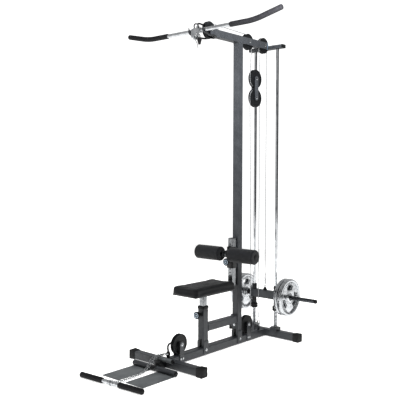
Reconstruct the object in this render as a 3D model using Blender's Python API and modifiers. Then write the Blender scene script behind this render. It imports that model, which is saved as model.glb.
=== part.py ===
"""Cable pulldown machine with a high lat bar and a low row bar, loaded by weight plates.

Run with: blender --background --factory-startup --python part.py
X runs to the user's right, -Y is the front, where the user sits, and +Z is up, in metres.
The upright stands at X = 0, Y = 0 of the machine's own axes. At the end a root empty moves
everything so that the world origin is at the bottom centre of the whole machine.
"""

import math

import bmesh
import bpy
import numpy as np
from mathutils import Matrix, Vector

# ---------------------------------------------------------------- driving dimensions
gap = 0.0003                 # between pieces that touch

tube = 0.050                 # square frame tube
wall = 0.002
tube_corner = 0.004
front_foot_y = -0.723
rear_foot_y = 0.337
foot_half_length = 0.319     # over the caps
cap_length = 0.050
cap_wall = 0.005

boom_top = 2.190
boom_front_y = -0.335
boom_rear_y = 0.3257
saddle_wall = 0.0043         # thickness of a post's foot beside the base beam
saddle_bottom = 0.012
saddle_top = 0.100
cable_slot = 0.0095          # half width of the slot for the low cable
cable_slot_top = 0.115

cable_r = 0.0025
cable_gap = 0.0015           # between two lengths of one cable that meet
small_pulley = 0.057
large_pulley = 0.0665
groove_depth = 0.0065        # from a pulley's edge to the cable's middle
pulley_half = 0.012          # half a pulley's thickness
axle_r = 0.006
pulley_slot = 0.0145         # half width of the boom's slots

front_pulley_y = -0.320
front_axle_drop = 0.012      # below the boom's top
middle_pulley_y = 0.107
carriage_y = 0.344           # guide rods, carriage and the cable that lifts it
low_front_y = -0.610
low_rear_gap = 0.0135        # from the upright to the rear low pulley
low_pulley_gap = 0.0045      # from the base beam up to the low pulleys
block_drop = 0.3465          # from the boom's top to the middle of the floating block
block_gap = 0.005            # between its two wheels

rod_x = 0.0986
rod_r = 0.011
socket_top = 0.078
crossmember = (0.296, 0.045, 0.025)
crossmember_drop = 0.0495    # from the boom's top to the crossmember's underside

beam_z = 0.313               # carriage beam and weight posts
beam_half = 0.125
beam_height = 0.058
sleeve_r = 0.018
sleeve_bottom = 0.236
sleeve_top = 0.383
lug_top = 0.372
bumper_r = 0.026
bumper_height = 0.038
post_r = 0.0145
post_end = 0.447
plate_r = 0.137
plate_thickness = 0.030
plate_first_x = 0.165
spring_wire = 0.002
spring_turns = 9

seat_post_y = -0.3715
seat_post_top = 0.335
inner_post = 0.038
bush_height = 0.030
seat_plate_z = 0.418
seat_plate_thickness = 0.006
seat_top = 0.483
seat_front_y = -0.570
seat_back_y = -0.145
seat_width = 0.224
seat_knob_z = 0.281
knob_r = 0.0265
knob_length = 0.046          # from a post's face to the knob's front
brace_z = 0.187

roller_post = 0.040
roller_standoff = 0.017      # from the upright to the back of the roller post
roller_post_bottom = 0.430
roller_post_top = 0.769
roller_sleeve_bottom = 0.558
roller_sleeve_top = 0.708
roller_reach = 0.068         # from the roller post to the rollers' rod
roller_z = 0.661
roller_r = 0.050
roller_inner_x = 0.040
roller_outer_x = 0.256
roller_rod_r = 0.0125
roller_knob_z = 0.605        # at a hole of the roller post

lat_bar_y = -0.430
lat_bar_drop = 0.033         # below the boom's top
bar_r = 0.0125
grip_r = 0.017
lat_bend_x = 0.455
lat_end = (0.655, 0.045)     # reach and rise of the bar's end
lat_grip_inner = 0.270
hook_x = 0.060
hook_wire = 0.006

row_bar_y = -1.185
row_bar_half = 0.253
row_bar_yaw = math.radians(4)
row_grip_inner = 0.066

pivot_reach = 0.082          # in front of the foot's face
pivot_z = 0.0195
pivot_r = 0.008
hinge_tube_r = 0.018
plate_inner_x = 0.030
plate_outer_x = 0.178
footplate_front_y = -1.100
footplate_thickness = 0.004
heel_bar_reach = 0.027
heel_bar_lift = 0.011        # above the foot's top
heel_bar_r = 0.013
heel_bar_span = (-0.045, 0.110)

stop_gap = 0.0315            # from the low front pulley's edge to the middle of the stop
stop_ball_r = 0.0135
chain_r = 0.006

# ---------------------------------------------------------------- values that follow
half = tube / 2
cap_size = tube + 2 * cap_wall
base_z = cap_size / 2        # centre height of the tubes on the floor
tube_low = base_z - half
tube_high = base_z + half
front_face = front_foot_y - half
boom_z = boom_top - half
crossmember_bottom = boom_top - crossmember_drop
lat_bar_z = boom_top - lat_bar_drop
front_pulley = (front_pulley_y, boom_top - front_axle_drop)
small_groove = small_pulley - groove_depth   # from an axle to the cable's middle
large_groove = large_pulley - groove_depth
rear_pulley_y = carriage_y - small_groove
block_y = (middle_pulley_y + small_groove + rear_pulley_y - small_groove) / 2
block_z = boom_top - block_drop
block_upper_z = block_z + large_pulley + block_gap / 2
block_lower_z = block_z - large_pulley - block_gap / 2
low_z = tube_high + low_pulley_gap + large_pulley
low_rear_y = half + low_rear_gap + large_pulley
stop_ball_y = low_front_y - large_pulley - stop_gap
roller_post_y = -half - roller_standoff - roller_post / 2
roller_y = roller_post_y - roller_reach
pivot_y = front_face - pivot_reach
heel_bar = (front_face - heel_bar_reach, tube_high + heel_bar_lift)
beam_top = beam_z + beam_height / 2

for leftover in list(bpy.data.objects):
    bpy.data.objects.remove(leftover)

machine = bpy.data.collections.new("lat_pulldown_machine")
helpers = bpy.data.collections.new("cutters")
bpy.context.scene.collection.children.link(machine)
bpy.context.scene.collection.children.link(helpers)
root = bpy.data.objects.new("machine_origin", None)
machine.objects.link(root)


# ---------------------------------------------------------------- materials
def material(name, color, roughness, metallic=0.0):
    made = bpy.data.materials.new(name)
    made.use_nodes = True
    shader = made.node_tree.nodes["Principled BSDF"]
    shader.inputs["Base Color"].default_value = (*color, 1.0)
    shader.inputs["Roughness"].default_value = roughness
    shader.inputs["Metallic"].default_value = metallic
    return made


finishes = {
    "frame": ((0.075, 0.078, 0.082), 0.45, 0.2),
    "black_steel": ((0.02, 0.02, 0.022), 0.4, 0.2),
    "chrome": ((0.75, 0.76, 0.77), 0.12, 1.0),
    "zinc": ((0.6, 0.61, 0.62), 0.35, 1.0),
    "rubber": ((0.015, 0.015, 0.016), 0.8, 0.0),
    "plastic": ((0.018, 0.018, 0.02), 0.45, 0.0),
    "vinyl": ((0.02, 0.02, 0.022), 0.5, 0.0),
    "foam": ((0.018, 0.018, 0.019), 0.9, 0.0),
    "cable": ((0.35, 0.36, 0.37), 0.4, 0.6),
    "sheet": ((0.11, 0.115, 0.12), 0.6, 0.3),
}


# ---------------------------------------------------------------- tools
def place(obj, finish, collection=None):
    """Put an object in its collection, under the root, with a material of its own."""
    for old in list(obj.users_collection):
        old.objects.unlink(obj)
    (collection or machine).objects.link(obj)
    obj.parent = root
    if finish:
        color, roughness, metallic = finishes[finish]
        obj.data.materials.clear()
        obj.data.materials.append(material(obj.name, color, roughness, metallic))
    else:
        obj.hide_render = True
        obj.display_type = "WIRE"
    return obj


def mesh_object(name, mesh_or_bm, finish):
    mesh = mesh_or_bm
    if isinstance(mesh_or_bm, bmesh.types.BMesh):
        mesh = bpy.data.meshes.new(name)
        mesh_or_bm.to_mesh(mesh)
        mesh_or_bm.free()
    obj = bpy.data.objects.new(name, mesh)
    return place(obj, finish, machine if finish else helpers)


def box(name, low, high, finish=None, corner=0.0):
    """A box between two corners. Without a finish it is a cutter or a piece to be joined."""
    low, high = Vector(low), Vector(high)
    bm = bmesh.new()
    bmesh.ops.create_cube(bm, size=1.0)
    bmesh.ops.scale(bm, vec=high - low, verts=bm.verts)
    obj = mesh_object(name, bm, finish)
    obj.location = (low + high) / 2
    if corner:
        bevel = obj.modifiers.new("corners", "BEVEL")
        bevel.width = corner
        bevel.segments = 2
        bevel.limit_method = "ANGLE"
    return obj


turn_to = {"X": (0, math.pi / 2, 0), "Y": (-math.pi / 2, 0, 0), "Z": (0, 0, 0)}


def cylinder(name, axis, middle, radius, length, finish=None, sides=16):
    bm = bmesh.new()
    bmesh.ops.create_cone(
        bm, cap_ends=True, segments=sides, radius1=radius, radius2=radius, depth=length
    )
    obj = mesh_object(name, bm, finish)
    if finish:
        obj.data.shade_smooth()
        obj.data.set_sharp_from_angle(angle=math.radians(40))
    obj.rotation_euler = turn_to[axis]
    obj.location = middle
    return obj


def turned(name, axis, middle, profile, finish=None, steps=24, ring=False):
    """A turned piece: (radius, height) points run down the outer side, round the axis."""
    bm = bmesh.new()
    points = [bm.verts.new((r, 0, z)) for r, z in profile]
    pairs = list(zip(points, points[1:]))
    if ring:
        pairs.append((points[-1], points[0]))
    for pair in pairs:
        bm.edges.new(pair)
    obj = mesh_object(name, bm, finish)
    screw = obj.modifiers.new("turn", "SCREW")
    screw.steps = screw.render_steps = steps
    screw.use_merge_vertices = True
    screw.merge_threshold = 0.00005
    screw.use_smooth_shade = True
    obj.rotation_euler = turn_to[axis]
    obj.location = middle
    return obj


def as_mesh(curve_obj, name, finish):
    """A curve made into a welded mesh, so that it can be cut or joined."""
    graph = bpy.context.evaluated_depsgraph_get()
    mesh = bpy.data.meshes.new_from_object(curve_obj.evaluated_get(graph))
    bm = bmesh.new()
    bm.from_mesh(mesh)
    bmesh.ops.remove_doubles(bm, verts=bm.verts, dist=0.00002)
    bmesh.ops.recalc_face_normals(bm, faces=bm.faces)
    matrix = curve_obj.matrix_world.copy()
    bpy.data.objects.remove(curve_obj)
    obj = mesh_object(name, bm, finish)
    obj.matrix_world = matrix
    return obj


def rod(name, points, radius, finish=None, resolution=2, closed=False):
    """A wire or bent rod along its points."""
    data = bpy.data.curves.new(name, "CURVE")
    data.dimensions = "3D"
    data.bevel_depth = radius
    data.bevel_resolution = resolution
    data.use_fill_caps = True
    spline = data.splines.new("POLY")
    spline.points.add(len(points) - 1)
    for target, point in zip(spline.points, points):
        target.co = (*point, 1.0)
    spline.use_cyclic_u = closed
    obj = bpy.data.objects.new(name, data)
    machine.objects.link(obj)
    bpy.context.view_layer.update()
    return as_mesh(obj, name, finish)


def plate(name, outline, axis_x, thickness, finish=None, holes=()):
    """A flat sheet in the Y-Z plane: its outline, centred on axis_x, and round holes."""
    data = bpy.data.curves.new(name, "CURVE")
    data.dimensions = "2D"
    data.fill_mode = "BOTH"
    data.extrude = thickness / 2
    rings = [outline] + [arc(y, z, r, 0, 360, 24)[:-1] for y, z, r in holes]
    for ring in rings:
        spline = data.splines.new("POLY")
        spline.points.add(len(ring) - 1)
        for target, (y, z) in zip(spline.points, ring):
            target.co = (y, z, 0.0, 1.0)
        spline.use_cyclic_u = True
    obj = bpy.data.objects.new(name, data)
    machine.objects.link(obj)
    # the curve's x, y, z become the machine's y, z, x
    obj.matrix_world = Matrix(((0, 0, 1, axis_x), (1, 0, 0, 0), (0, 1, 0, 0), (0, 0, 0, 1)))
    bpy.context.view_layer.update()
    return as_mesh(obj, name, finish)


def boolean(obj, other, operation):
    step = obj.modifiers.new(other.name, "BOOLEAN")
    step.operation = operation
    step.object = other
    step.solver = "EXACT"
    return obj


def cut(obj, *others):
    for other in others:
        boolean(obj, other, "DIFFERENCE")
    return obj


def join(obj, *others):
    for other in others:
        boolean(obj, other, "UNION")
    return obj


def arc(y, z, radius, start, end, count):
    """Points on a circle in the Y-Z plane. Angles are in degrees from +Y towards +Z."""
    angles = np.radians(np.linspace(start, end, count))
    return [(y + radius * math.cos(a), z + radius * math.sin(a)) for a in angles]


def smooth(points, steps):
    """Points along a smooth curve through the given ones (Catmull-Rom)."""
    given = [Vector(p) for p in points]
    ends = [given[0] * 2 - given[1]] + given + [given[-1] * 2 - given[-2]]
    out = []
    for a, b, c, d in zip(ends, ends[1:], ends[2:], ends[3:]):
        for i in range(steps):
            t = i / steps
            out.append(
                0.5 * (2 * b + (c - a) * t + (2 * a - 5 * b + 4 * c - d) * t**2
                       + (3 * b - a - 3 * c + d) * t**3)
            )
    return out + [given[-1]]


def in_plane(points):
    return [(0.0, y, z) for y, z in points]


# ---------------------------------------------------------------- frame tubes
def frame_tube(name, low, high, along, corner=tube_corner):
    """A hollow square tube, open at both ends."""
    obj = box(name, low, high, "frame", corner)
    inner_low = [v + (-0.01 if i == along else wall) for i, v in enumerate(low)]
    inner_high = [v + (0.01 if i == along else -wall) for i, v in enumerate(high)]
    return cut(obj, box(name + "_bore", inner_low, inner_high))


def foot(name, y):
    reach = foot_half_length - cap_wall - gap
    return frame_tube(name, (-reach, y - half, tube_low), (reach, y + half, tube_high), 0)


def foot_cap(name, y, side):
    outer, inner = side * foot_half_length, side * (foot_half_length - cap_length)
    floor_of_cup = side * (foot_half_length - cap_wall)
    size = cap_size / 2
    cup = half + gap
    low = sorted((outer, inner))
    obj = box(name, (low[0], y - size, 0.0), (low[1], y + size, cap_size), "rubber", 0.005)
    hollow = sorted((floor_of_cup, inner - side * 0.01))
    return cut(obj, box(name + "_cup", (hollow[0], y - cup, base_z - cup),
                        (hollow[1], y + cup, base_z + cup)))


def base_frame():
    foot("front_foot", front_foot_y)
    rear = foot("rear_foot", rear_foot_y)
    for side, word in ((-1, "left"), (1, "right")):
        x = side * rod_x
        saddle = box(f"rod_socket_{word}", (x - 0.028, rear_foot_y - 0.030, 0.020),
                     (x + 0.028, carriage_y + 0.026, socket_top - gap), None, 0.003)
        join(rear, saddle)
        foot_cap(f"foot_cap_front_{word}", front_foot_y, side)
        foot_cap(f"foot_cap_rear_{word}", rear_foot_y, side)
    start = front_foot_y + half + gap
    end = rear_foot_y - half - gap
    beam = frame_tube("base_beam", (-half, start, tube_low), (half, end, tube_high), 1)
    eye_y = block_y + large_groove
    eye = box("anchor_lug", (-0.004, eye_y - 0.012, tube_high - 0.001),
              (0.004, eye_y + 0.012, tube_high + 0.032))
    hook = rod("anchor_hook", in_plane(arc(eye_y, tube_high + 0.048, 0.018, 0, 360, 25)[:-1]),
               0.003, closed=True)
    join(beam, eye, hook)


def post(name, y, top, inner_top=None):
    """A post that straddles the base beam, with a slot at its foot for the low cable."""
    bottom = tube_high + gap
    obj = box(name, (-half, y - half, bottom), (half, y + half, top), "frame", tube_corner)
    side = half + gap + saddle_wall
    join(obj, box(name + "_saddle", (-side, y - half, saddle_bottom),
                  (side, y + half, saddle_top), None, 0.002))
    cut(obj, box(name + "_over_beam", (-half - gap, y - tube, -0.01),
                 (half + gap, y + tube, bottom)))
    inner = half - wall
    hollow_top = inner_top or top + 0.01
    cut(obj, box(name + "_bore", (-inner, y - inner, bottom - 0.005), (inner, y + inner, hollow_top)))
    cut(obj, box(name + "_cable_slot", (-cable_slot, y - tube, bottom - 0.01),
                 (cable_slot, y + tube, cable_slot_top)))
    return obj


def posts():
    post("upright", 0.0, boom_top - tube - gap)
    sleeve = post("seat_post", seat_post_y, seat_post_top, seat_post_top - bush_height)
    fit = inner_post / 2 + gap
    cut(sleeve, box("seat_bush_bore", (-fit, seat_post_y - fit, seat_post_top - bush_height - 0.005),
                    (fit, seat_post_y + fit, seat_post_top + 0.01)))
    cut(sleeve, cylinder("seat_pin_hole", "Y", (0, seat_post_y - half, seat_knob_z),
                         0.0045, 0.02))
    start = seat_post_y + half + gap
    end = -half - 2 * gap - 0.005
    brace = frame_tube("seat_brace", (-half, start, brace_z - half),
                       (half, end + 0.002, brace_z + half), 1)
    join(brace, box("brace_flange", (-half - 0.007, end, 0.128), (half + 0.007, -half - gap, brace_z + half + 0.007),
                    None, 0.002))


def boom():
    z = boom_z
    obj = frame_tube("top_boom", (-half, boom_front_y, z - half), (half, boom_rear_y, z + half), 1)
    spans = (
        (boom_front_y - 0.02, front_pulley[0] + small_pulley + 0.005),
        (middle_pulley_y - small_pulley - 0.005, middle_pulley_y + small_pulley + 0.005),
        (rear_pulley_y - small_pulley - 0.005, boom_rear_y + 0.02),
    )
    for index, (start, end) in enumerate(spans):
        cut(obj, box(f"boom_slot_{index}", (-pulley_slot, start, z - tube),
                     (pulley_slot, end, z + tube)))
    axles = (("front", *front_pulley), ("middle", middle_pulley_y, z), ("rear", rear_pulley_y, z))
    for word, y, height in axles:
        cut(obj, cylinder(f"{word}_axle_hole", "X", (0, y, height), axle_r + gap, tube + 0.03))
        if word != "front":
            axle(f"top_{word}_axle", y, height, half + gap)
    width, depth, height = crossmember
    front = boom_rear_y + gap
    cross = box("top_crossmember", (-width / 2, front, crossmember_bottom),
                (width / 2, front + depth, crossmember_bottom + height), "frame", 0.002)
    cut(cross, box("crossmember_notch", (-0.017, front - 0.01, crossmember_bottom - 0.01),
                   (0.017, rear_pulley_y + small_pulley + 0.006, crossmember_bottom + 0.05)))


def axle(name, y, z, outside):
    """A bolt through a pulley: its shank with a round head at each end."""
    head = 0.0085
    end = outside + 0.006
    profile = [(0, end), (head, end), (head, outside), (axle_r, outside), (axle_r, -outside),
               (head, -outside), (head, -end), (0, -end)]
    return turned(name, "X", (0, y, z), profile, "zinc", 12)


# ---------------------------------------------------------------- pulleys
def pulley(name, y, z, outer, groove):
    """A grooved nylon wheel with a bore."""
    seat = groove - cable_r - gap
    bore = axle_r + gap
    w = pulley_half
    profile = [(outer, w), (outer, 0.009), (seat, 0.0035), (seat, -0.0035), (outer, -0.009),
               (outer, -w), (bore, -w), (bore, w)]
    return turned(name, "X", (0, y, z), profile, "plastic", 24, ring=True)


def low_bracket(name, y):
    """Two straps on the base beam's sides, joined by the pulley's axle."""
    x = half + gap + 0.002
    top = arc(y, low_z, 0.020, 0, 180, 9)
    outline = top + [(y - 0.020, saddle_bottom), (y + 0.020, saddle_bottom)]
    right = plate(name, outline, x, 0.004, "black_steel")
    left = plate(name + "_left", outline, -x, 0.004)
    pin = cylinder(name + "_axle", "X", (0, y, low_z), axle_r, 2 * x + 0.016, sides=16)
    return join(right, left, pin)


def pulleys():
    pulley("top_front_pulley", *front_pulley, small_pulley, small_groove)
    pulley("top_middle_pulley", middle_pulley_y, boom_z, small_pulley, small_groove)
    pulley("top_rear_pulley", rear_pulley_y, boom_z, small_pulley, small_groove)
    pulley("low_front_pulley", low_front_y, low_z, large_pulley, large_groove)
    pulley("low_rear_pulley", low_rear_y, low_z, large_pulley, large_groove)
    low_bracket("low_front_bracket", low_front_y)
    low_bracket("low_rear_bracket", low_rear_y)
    pulley("block_upper_pulley", block_y, block_upper_z, large_pulley, large_groove)
    pulley("block_lower_pulley", block_y, block_lower_z, large_pulley, large_groove)
    x = pulley_half + 0.0035
    outline = (arc(block_y, block_upper_z, 0.020, 0, 180, 9)
               + arc(block_y, block_lower_z, 0.020, 180, 360, 9))
    cheeks = plate("block_cheeks", outline, x, 0.004, "black_steel")
    join(cheeks, plate("block_cheek_left", outline, -x, 0.004))
    for word, z in (("upper", block_upper_z), ("lower", block_lower_z)):
        join(cheeks, cylinder(f"block_{word}_axle", "X", (0, block_y, z), axle_r,
                              2 * x + 0.016, sides=16))


# ---------------------------------------------------------------- weights
def guide_rods():
    bottom = socket_top
    length = crossmember_bottom - gap - bottom
    for side, word in ((-1, "left"), (1, "right")):
        x = side * rod_x
        cylinder(f"guide_rod_{word}", "Z", (x, carriage_y, bottom + length / 2), rod_r, length,
                 "chrome")
        spring(f"spring_{word}", x)


def spring(name, x):
    """A coil round the guide rod, under the bumper."""
    low = socket_top + spring_wire + gap
    high = sleeve_bottom - bumper_height - spring_wire - 2 * gap
    radius = rod_r + gap + spring_wire + 0.0012
    steps = 8
    count = spring_turns * steps
    points = []
    for i in range(count + 1):
        a = 2 * math.pi * i / steps
        z = low + (high - low) * i / count
        points.append((x + radius * math.cos(a), carriage_y + radius * math.sin(a), z))
    return rod(name, points, spring_wire, "chrome", 0)


def carriage():
    y = carriage_y
    depth = 0.024
    obj = box("weight_carriage", (-beam_half, y - depth, beam_z - beam_height / 2),
              (beam_half, y + depth, beam_top), "black_steel", 0.003)
    for side, word in ((-1, "left"), (1, "right")):
        x = side * rod_x
        sleeve = cylinder(f"guide_sleeve_{word}", "Z", (x, y, (sleeve_bottom + sleeve_top) / 2),
                          sleeve_r, sleeve_top - sleeve_bottom)
        start = beam_half - 0.010
        weight_post = cylinder(f"weight_post_{word}", "X",
                               (side * (start + post_end) / 2, y, beam_z), post_r,
                               post_end - start)
        collar = cylinder(f"post_collar_{word}", "X", (side * (plate_first_x - 0.008), y, beam_z),
                          0.026, 0.012)
        join(obj, sleeve, weight_post, collar)
    lug = turned("cable_lug", "Z", (0, y, 0), [(0, lug_top), (0.006, lug_top), (0.008, 0.366),
                                               (0.015, 0.350), (0.016, beam_top - 0.004),
                                               (0, beam_top - 0.004)], None, 24)
    join(obj, lug)
    for side, word in ((-1, "left"), (1, "right")):
        x = side * rod_x
        cut(obj, cylinder(f"guide_bore_{word}", "Z", (x, y, beam_z), rod_r + gap, 0.4))
        r, h = bumper_r, bumper_height
        top = sleeve_bottom - gap
        profile = [(r - 0.008, top), (r - 0.002, top - 0.006), (r, top - h / 2),
                   (r - 0.002, top - h + 0.006), (r - 0.008, top - h),
                   (rod_r + gap, top - h), (rod_r + gap, top)]
        turned(f"bumper_{word}", "Z", (x, y, 0), profile, "rubber", 16, ring=True)


def weight_plate(name, x_inner, side):
    """A chromed plate: raised rim and hub, bored for the post, with three grip holes."""
    t, r = plate_thickness, plate_r
    bore, hub = post_r + gap * 2, 0.034
    thin = t / 2 - 0.008
    profile = [(r, t / 2), (r, -t / 2), (r - 0.020, -t / 2), (r - 0.026, -thin),
               (hub + 0.006, -thin), (hub, -t / 2), (bore, -t / 2), (bore, t / 2),
               (hub, t / 2), (hub + 0.006, thin), (r - 0.026, thin), (r - 0.020, t / 2)]
    x = side * (x_inner + t / 2)
    obj = turned(name, "X", (x, carriage_y, beam_z), profile, "chrome", 28, ring=True)
    middle = (hub + r - 0.020) / 2
    for index in range(3):
        turn = 90 + 120 * index
        outline = (arc(0, 0, middle + 0.020, turn - 27, turn + 27, 5)
                   + arc(0, 0, middle - 0.018, turn + 27, turn - 27, 3))
        grip = plate(f"{name}_grip_{index}",
                     [(carriage_y + u, beam_z + v) for u, v in outline], x, 0.05)
        cut(obj, grip)
    return obj


def weights():
    second = plate_first_x + plate_thickness + 0.005
    for side, word in ((-1, "left"), (1, "right")):
        weight_plate(f"weight_plate_{word}_inner", plate_first_x, side)
        weight_plate(f"weight_plate_{word}_outer", second, side)


# ---------------------------------------------------------------- seat and thigh rollers
def knob(name, face_y, z, pin_tip_y):
    """A pull knob in front of a face, with its pin towards the post inside."""
    head = face_y - knob_length
    r = knob_r
    profile = [(0, 0), (r - 0.005, 0), (r, -0.004), (r, -0.012), (r - 0.006, -0.017),
               (0.010, -0.021), (0.008, -0.024), (0.008, 0.001 - knob_length),
               (0.004, 0.0005 - knob_length), (0.004, head - pin_tip_y), (0, head - pin_tip_y)]
    obj = turned(name, "Y", (0, head, z), profile, "plastic", 16)
    obj.rotation_euler = (math.pi / 2, 0, 0)
    return obj


def seat():
    y = seat_post_y
    h = inner_post / 2
    carrier = box("seat_carrier", (-h, y - h, 0.150), (h, y + h, seat_plate_z + 0.001), "chrome",
                  0.003)
    join(carrier, box("seat_plate", (-0.070, seat_front_y + 0.060, seat_plate_z),
                      (0.070, seat_back_y - 0.060, seat_plate_z + seat_plate_thickness), None,
                      0.001))
    low = seat_plate_z + seat_plate_thickness + gap
    w = seat_width / 2
    pad = box("seat_pad", (-w, seat_front_y, low), (w, seat_back_y, seat_top), "vinyl")
    bevel = pad.modifiers.new("soft_edges", "BEVEL")
    bevel.width = 0.014
    bevel.segments = 3
    knob("seat_knob", y - half, seat_knob_z, y - h - 0.0005)


def thigh_rollers():
    y, h = roller_post_y, roller_post / 2
    pillar = box("roller_post", (-h, y - h, roller_post_bottom), (h, y + h, roller_post_top),
                 "chrome", 0.003)
    spacer = 0.012
    for word, z in (("low", roller_post_bottom), ("high", roller_post_top - spacer)):
        join(pillar, box(f"roller_spacer_{word}", (-0.015, y, z + 0.0005),
                         (0.015, -half - gap, z + spacer - 0.0005)))
    pitch = 0.025
    for index in range(1, int((roller_post_top - roller_post_bottom) / pitch)):
        z = roller_post_bottom + pitch * index
        cut(pillar, cylinder(f"post_hole_{index}", "Y", (0, y - h, z), 0.005, 0.02, sides=8))
    s = half
    low, high = roller_sleeve_bottom, roller_sleeve_top
    obj = box("roller_carrier", (-s, y - s, low), (s, y + s, high), "black_steel", 0.003)
    rod_obj = cylinder("roller_rod", "X", (0, roller_y, roller_z), roller_rod_r,
                       2 * (roller_outer_x + 0.004))
    join(obj, box("roller_arm", (-0.017, roller_y - 0.018, roller_z - 0.020),
                  (0.017, y - s + 0.004, roller_z + 0.020), None, 0.004), rod_obj)
    fit = h + gap
    cut(obj, box("roller_sleeve_bore", (-fit, y - fit, low - 0.02), (fit, y + fit, high + 0.02)))
    cut(obj, cylinder("roller_pin_hole", "Y", (0, y - s, roller_knob_z), 0.0045, 0.02))
    knob("roller_knob", y - s, roller_knob_z, y - h - 0.0005)
    length = roller_outer_x - roller_inner_x
    r, bore = roller_r, roller_rod_r + gap
    profile = [(r - 0.008, length / 2), (r, length / 2 - 0.008), (r, 0.008 - length / 2),
               (r - 0.008, -length / 2), (bore, -length / 2), (bore, length / 2)]
    for side, word in ((-1, "left"), (1, "right")):
        x = side * (roller_inner_x + roller_outer_x) / 2
        turned(f"foam_roller_{word}", "X", (x, roller_y, roller_z), profile, "foam", 24, ring=True)


# ---------------------------------------------------------------- bars
def lat_bar():
    y, z = lat_bar_y, lat_bar_z
    reach, rise = lat_end
    slope = Vector((reach - lat_bend_x, 0, rise)).normalized()
    bend = 0.040
    points = []
    for side in (-1, 1):
        corner = Vector((side * lat_bend_x, y, z))
        inner = corner - Vector((side * bend, 0, 0))
        outer = corner + Vector((side * slope.x, 0, slope.z)) * bend
        row = []
        for i in range(6):
            t = i / 5
            row.append(inner * (1 - t) ** 2 + corner * 2 * t * (1 - t) + outer * t**2)
        row.append(Vector((side * reach, y, z + rise)))
        points += [tuple(p) for p in (row[::-1] if side < 0 else row)]
    bar = rod("lat_bar", points, bar_r, "chrome", 3)
    for side, word in ((-1, "left"), (1, "right")):
        path = [p for p in points if p[0] * side > lat_grip_inner]
        start = (side * lat_grip_inner, y, z)
        tip = Vector(path[-1] if side > 0 else path[0])
        tip += Vector((side * slope.x, 0, slope.z)) * 0.004
        route = [start] + (path[:-1] if side > 0 else path[1:][::-1]) + [tuple(tip)]
        grip = rod(f"lat_grip_{word}", route, grip_r, "rubber", 3)
        cut(grip, rod(f"lat_grip_bore_{word}",
                      [(side * (lat_grip_inner - 0.01), y, z)] + route[1:-1]
                      + [tuple(tip - Vector((side * slope.x, 0, slope.z)) * (0.004 - gap))],
                      bar_r + 2 * gap, None, 3))
    profile = [(0, 0.027), (0.005, 0.027), (0.0065, 0.020), (0.011, 0.018), (0.011, 0.002),
               (0.009, 0), (0, 0)]
    turned("lat_swivel", "Z", (0, y, z + bar_r + gap), profile, "zinc", 16)
    return bar


def bar_hooks():
    """A bracket round the boom's front end, with the front axle and a hook at each side."""
    y0, axle_z = front_pulley
    sheet = 0.004
    under = boom_z - half - gap
    side_x = half + gap
    z0 = under - sheet - hook_wire + 0.002
    front = lat_bar_y + bar_r + gap + 0.004
    cradle = bar_r + gap + hook_wire
    back = y0 + small_pulley
    obj = box("bar_hooks", (-side_x - sheet, y0 - 0.015, under - sheet),
              (side_x + sheet, back + 0.025, axle_z + 0.014), "black_steel")
    cut(obj, box("hook_bracket_inside", (-side_x, y0 - 0.10, under), (side_x, back + 0.10, boom_top + 0.11)),
        box("hook_bracket_slot", (-pulley_slot, y0 - 0.10, boom_top - 0.19),
            (pulley_slot, back + 0.005, boom_top + 0.11)))
    join(obj, cylinder("top_front_axle", "X", (0, y0, axle_z), axle_r,
                       2 * (side_x + sheet) + 0.012, sides=16))
    for side, word in ((-1, "left"), (1, "right")):
        x = side * hook_x
        path = [(side * 0.020, y0 + 0.025, z0), (side * 0.040, y0 + 0.020, z0),
                (side * 0.054, y0 + 0.008, z0), (x, y0 - 0.015, z0), (x, front + 0.030, z0 - 0.002)]
        path += [(x, u, v) for u, v in arc(lat_bar_y, lat_bar_z, cradle, -50, -200, 9)]
        path.append((x, lat_bar_y - cradle - 0.006, lat_bar_z + 0.022))
        join(obj, rod(f"hook_{word}", path, hook_wire, None, 2))
    return obj


def row_bar():
    """The low bar lies on the floor, turned a little, held by its chain."""
    pivot = bpy.data.objects.new("row_bar_pivot", None)
    machine.objects.link(pivot)
    pivot.parent = root
    pivot.location = (0, row_bar_y, grip_r)
    pivot.rotation_euler = (0, 0, row_bar_yaw)
    bar = cylinder("row_bar", "X", (0, 0, 0), bar_r, 2 * (row_bar_half - 0.004 - gap), "chrome")
    bar.parent = pivot
    for side, word in ((-1, "left"), (1, "right")):
        length = row_bar_half - row_grip_inner
        bore = bar_r + gap
        end = length - 0.004
        profile = [(0, length), (grip_r - 0.003, length), (grip_r, length - 0.003), (grip_r, 0.002),
                   (grip_r - 0.002, 0), (bore, 0), (bore, end), (0, end)]
        grip = turned(f"row_grip_{word}", "X", (side * row_grip_inner, 0, 0), profile, "rubber", 16)
        if side < 0:
            grip.rotation_euler = (0, -math.pi / 2, 0)
        grip.parent = pivot


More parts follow.
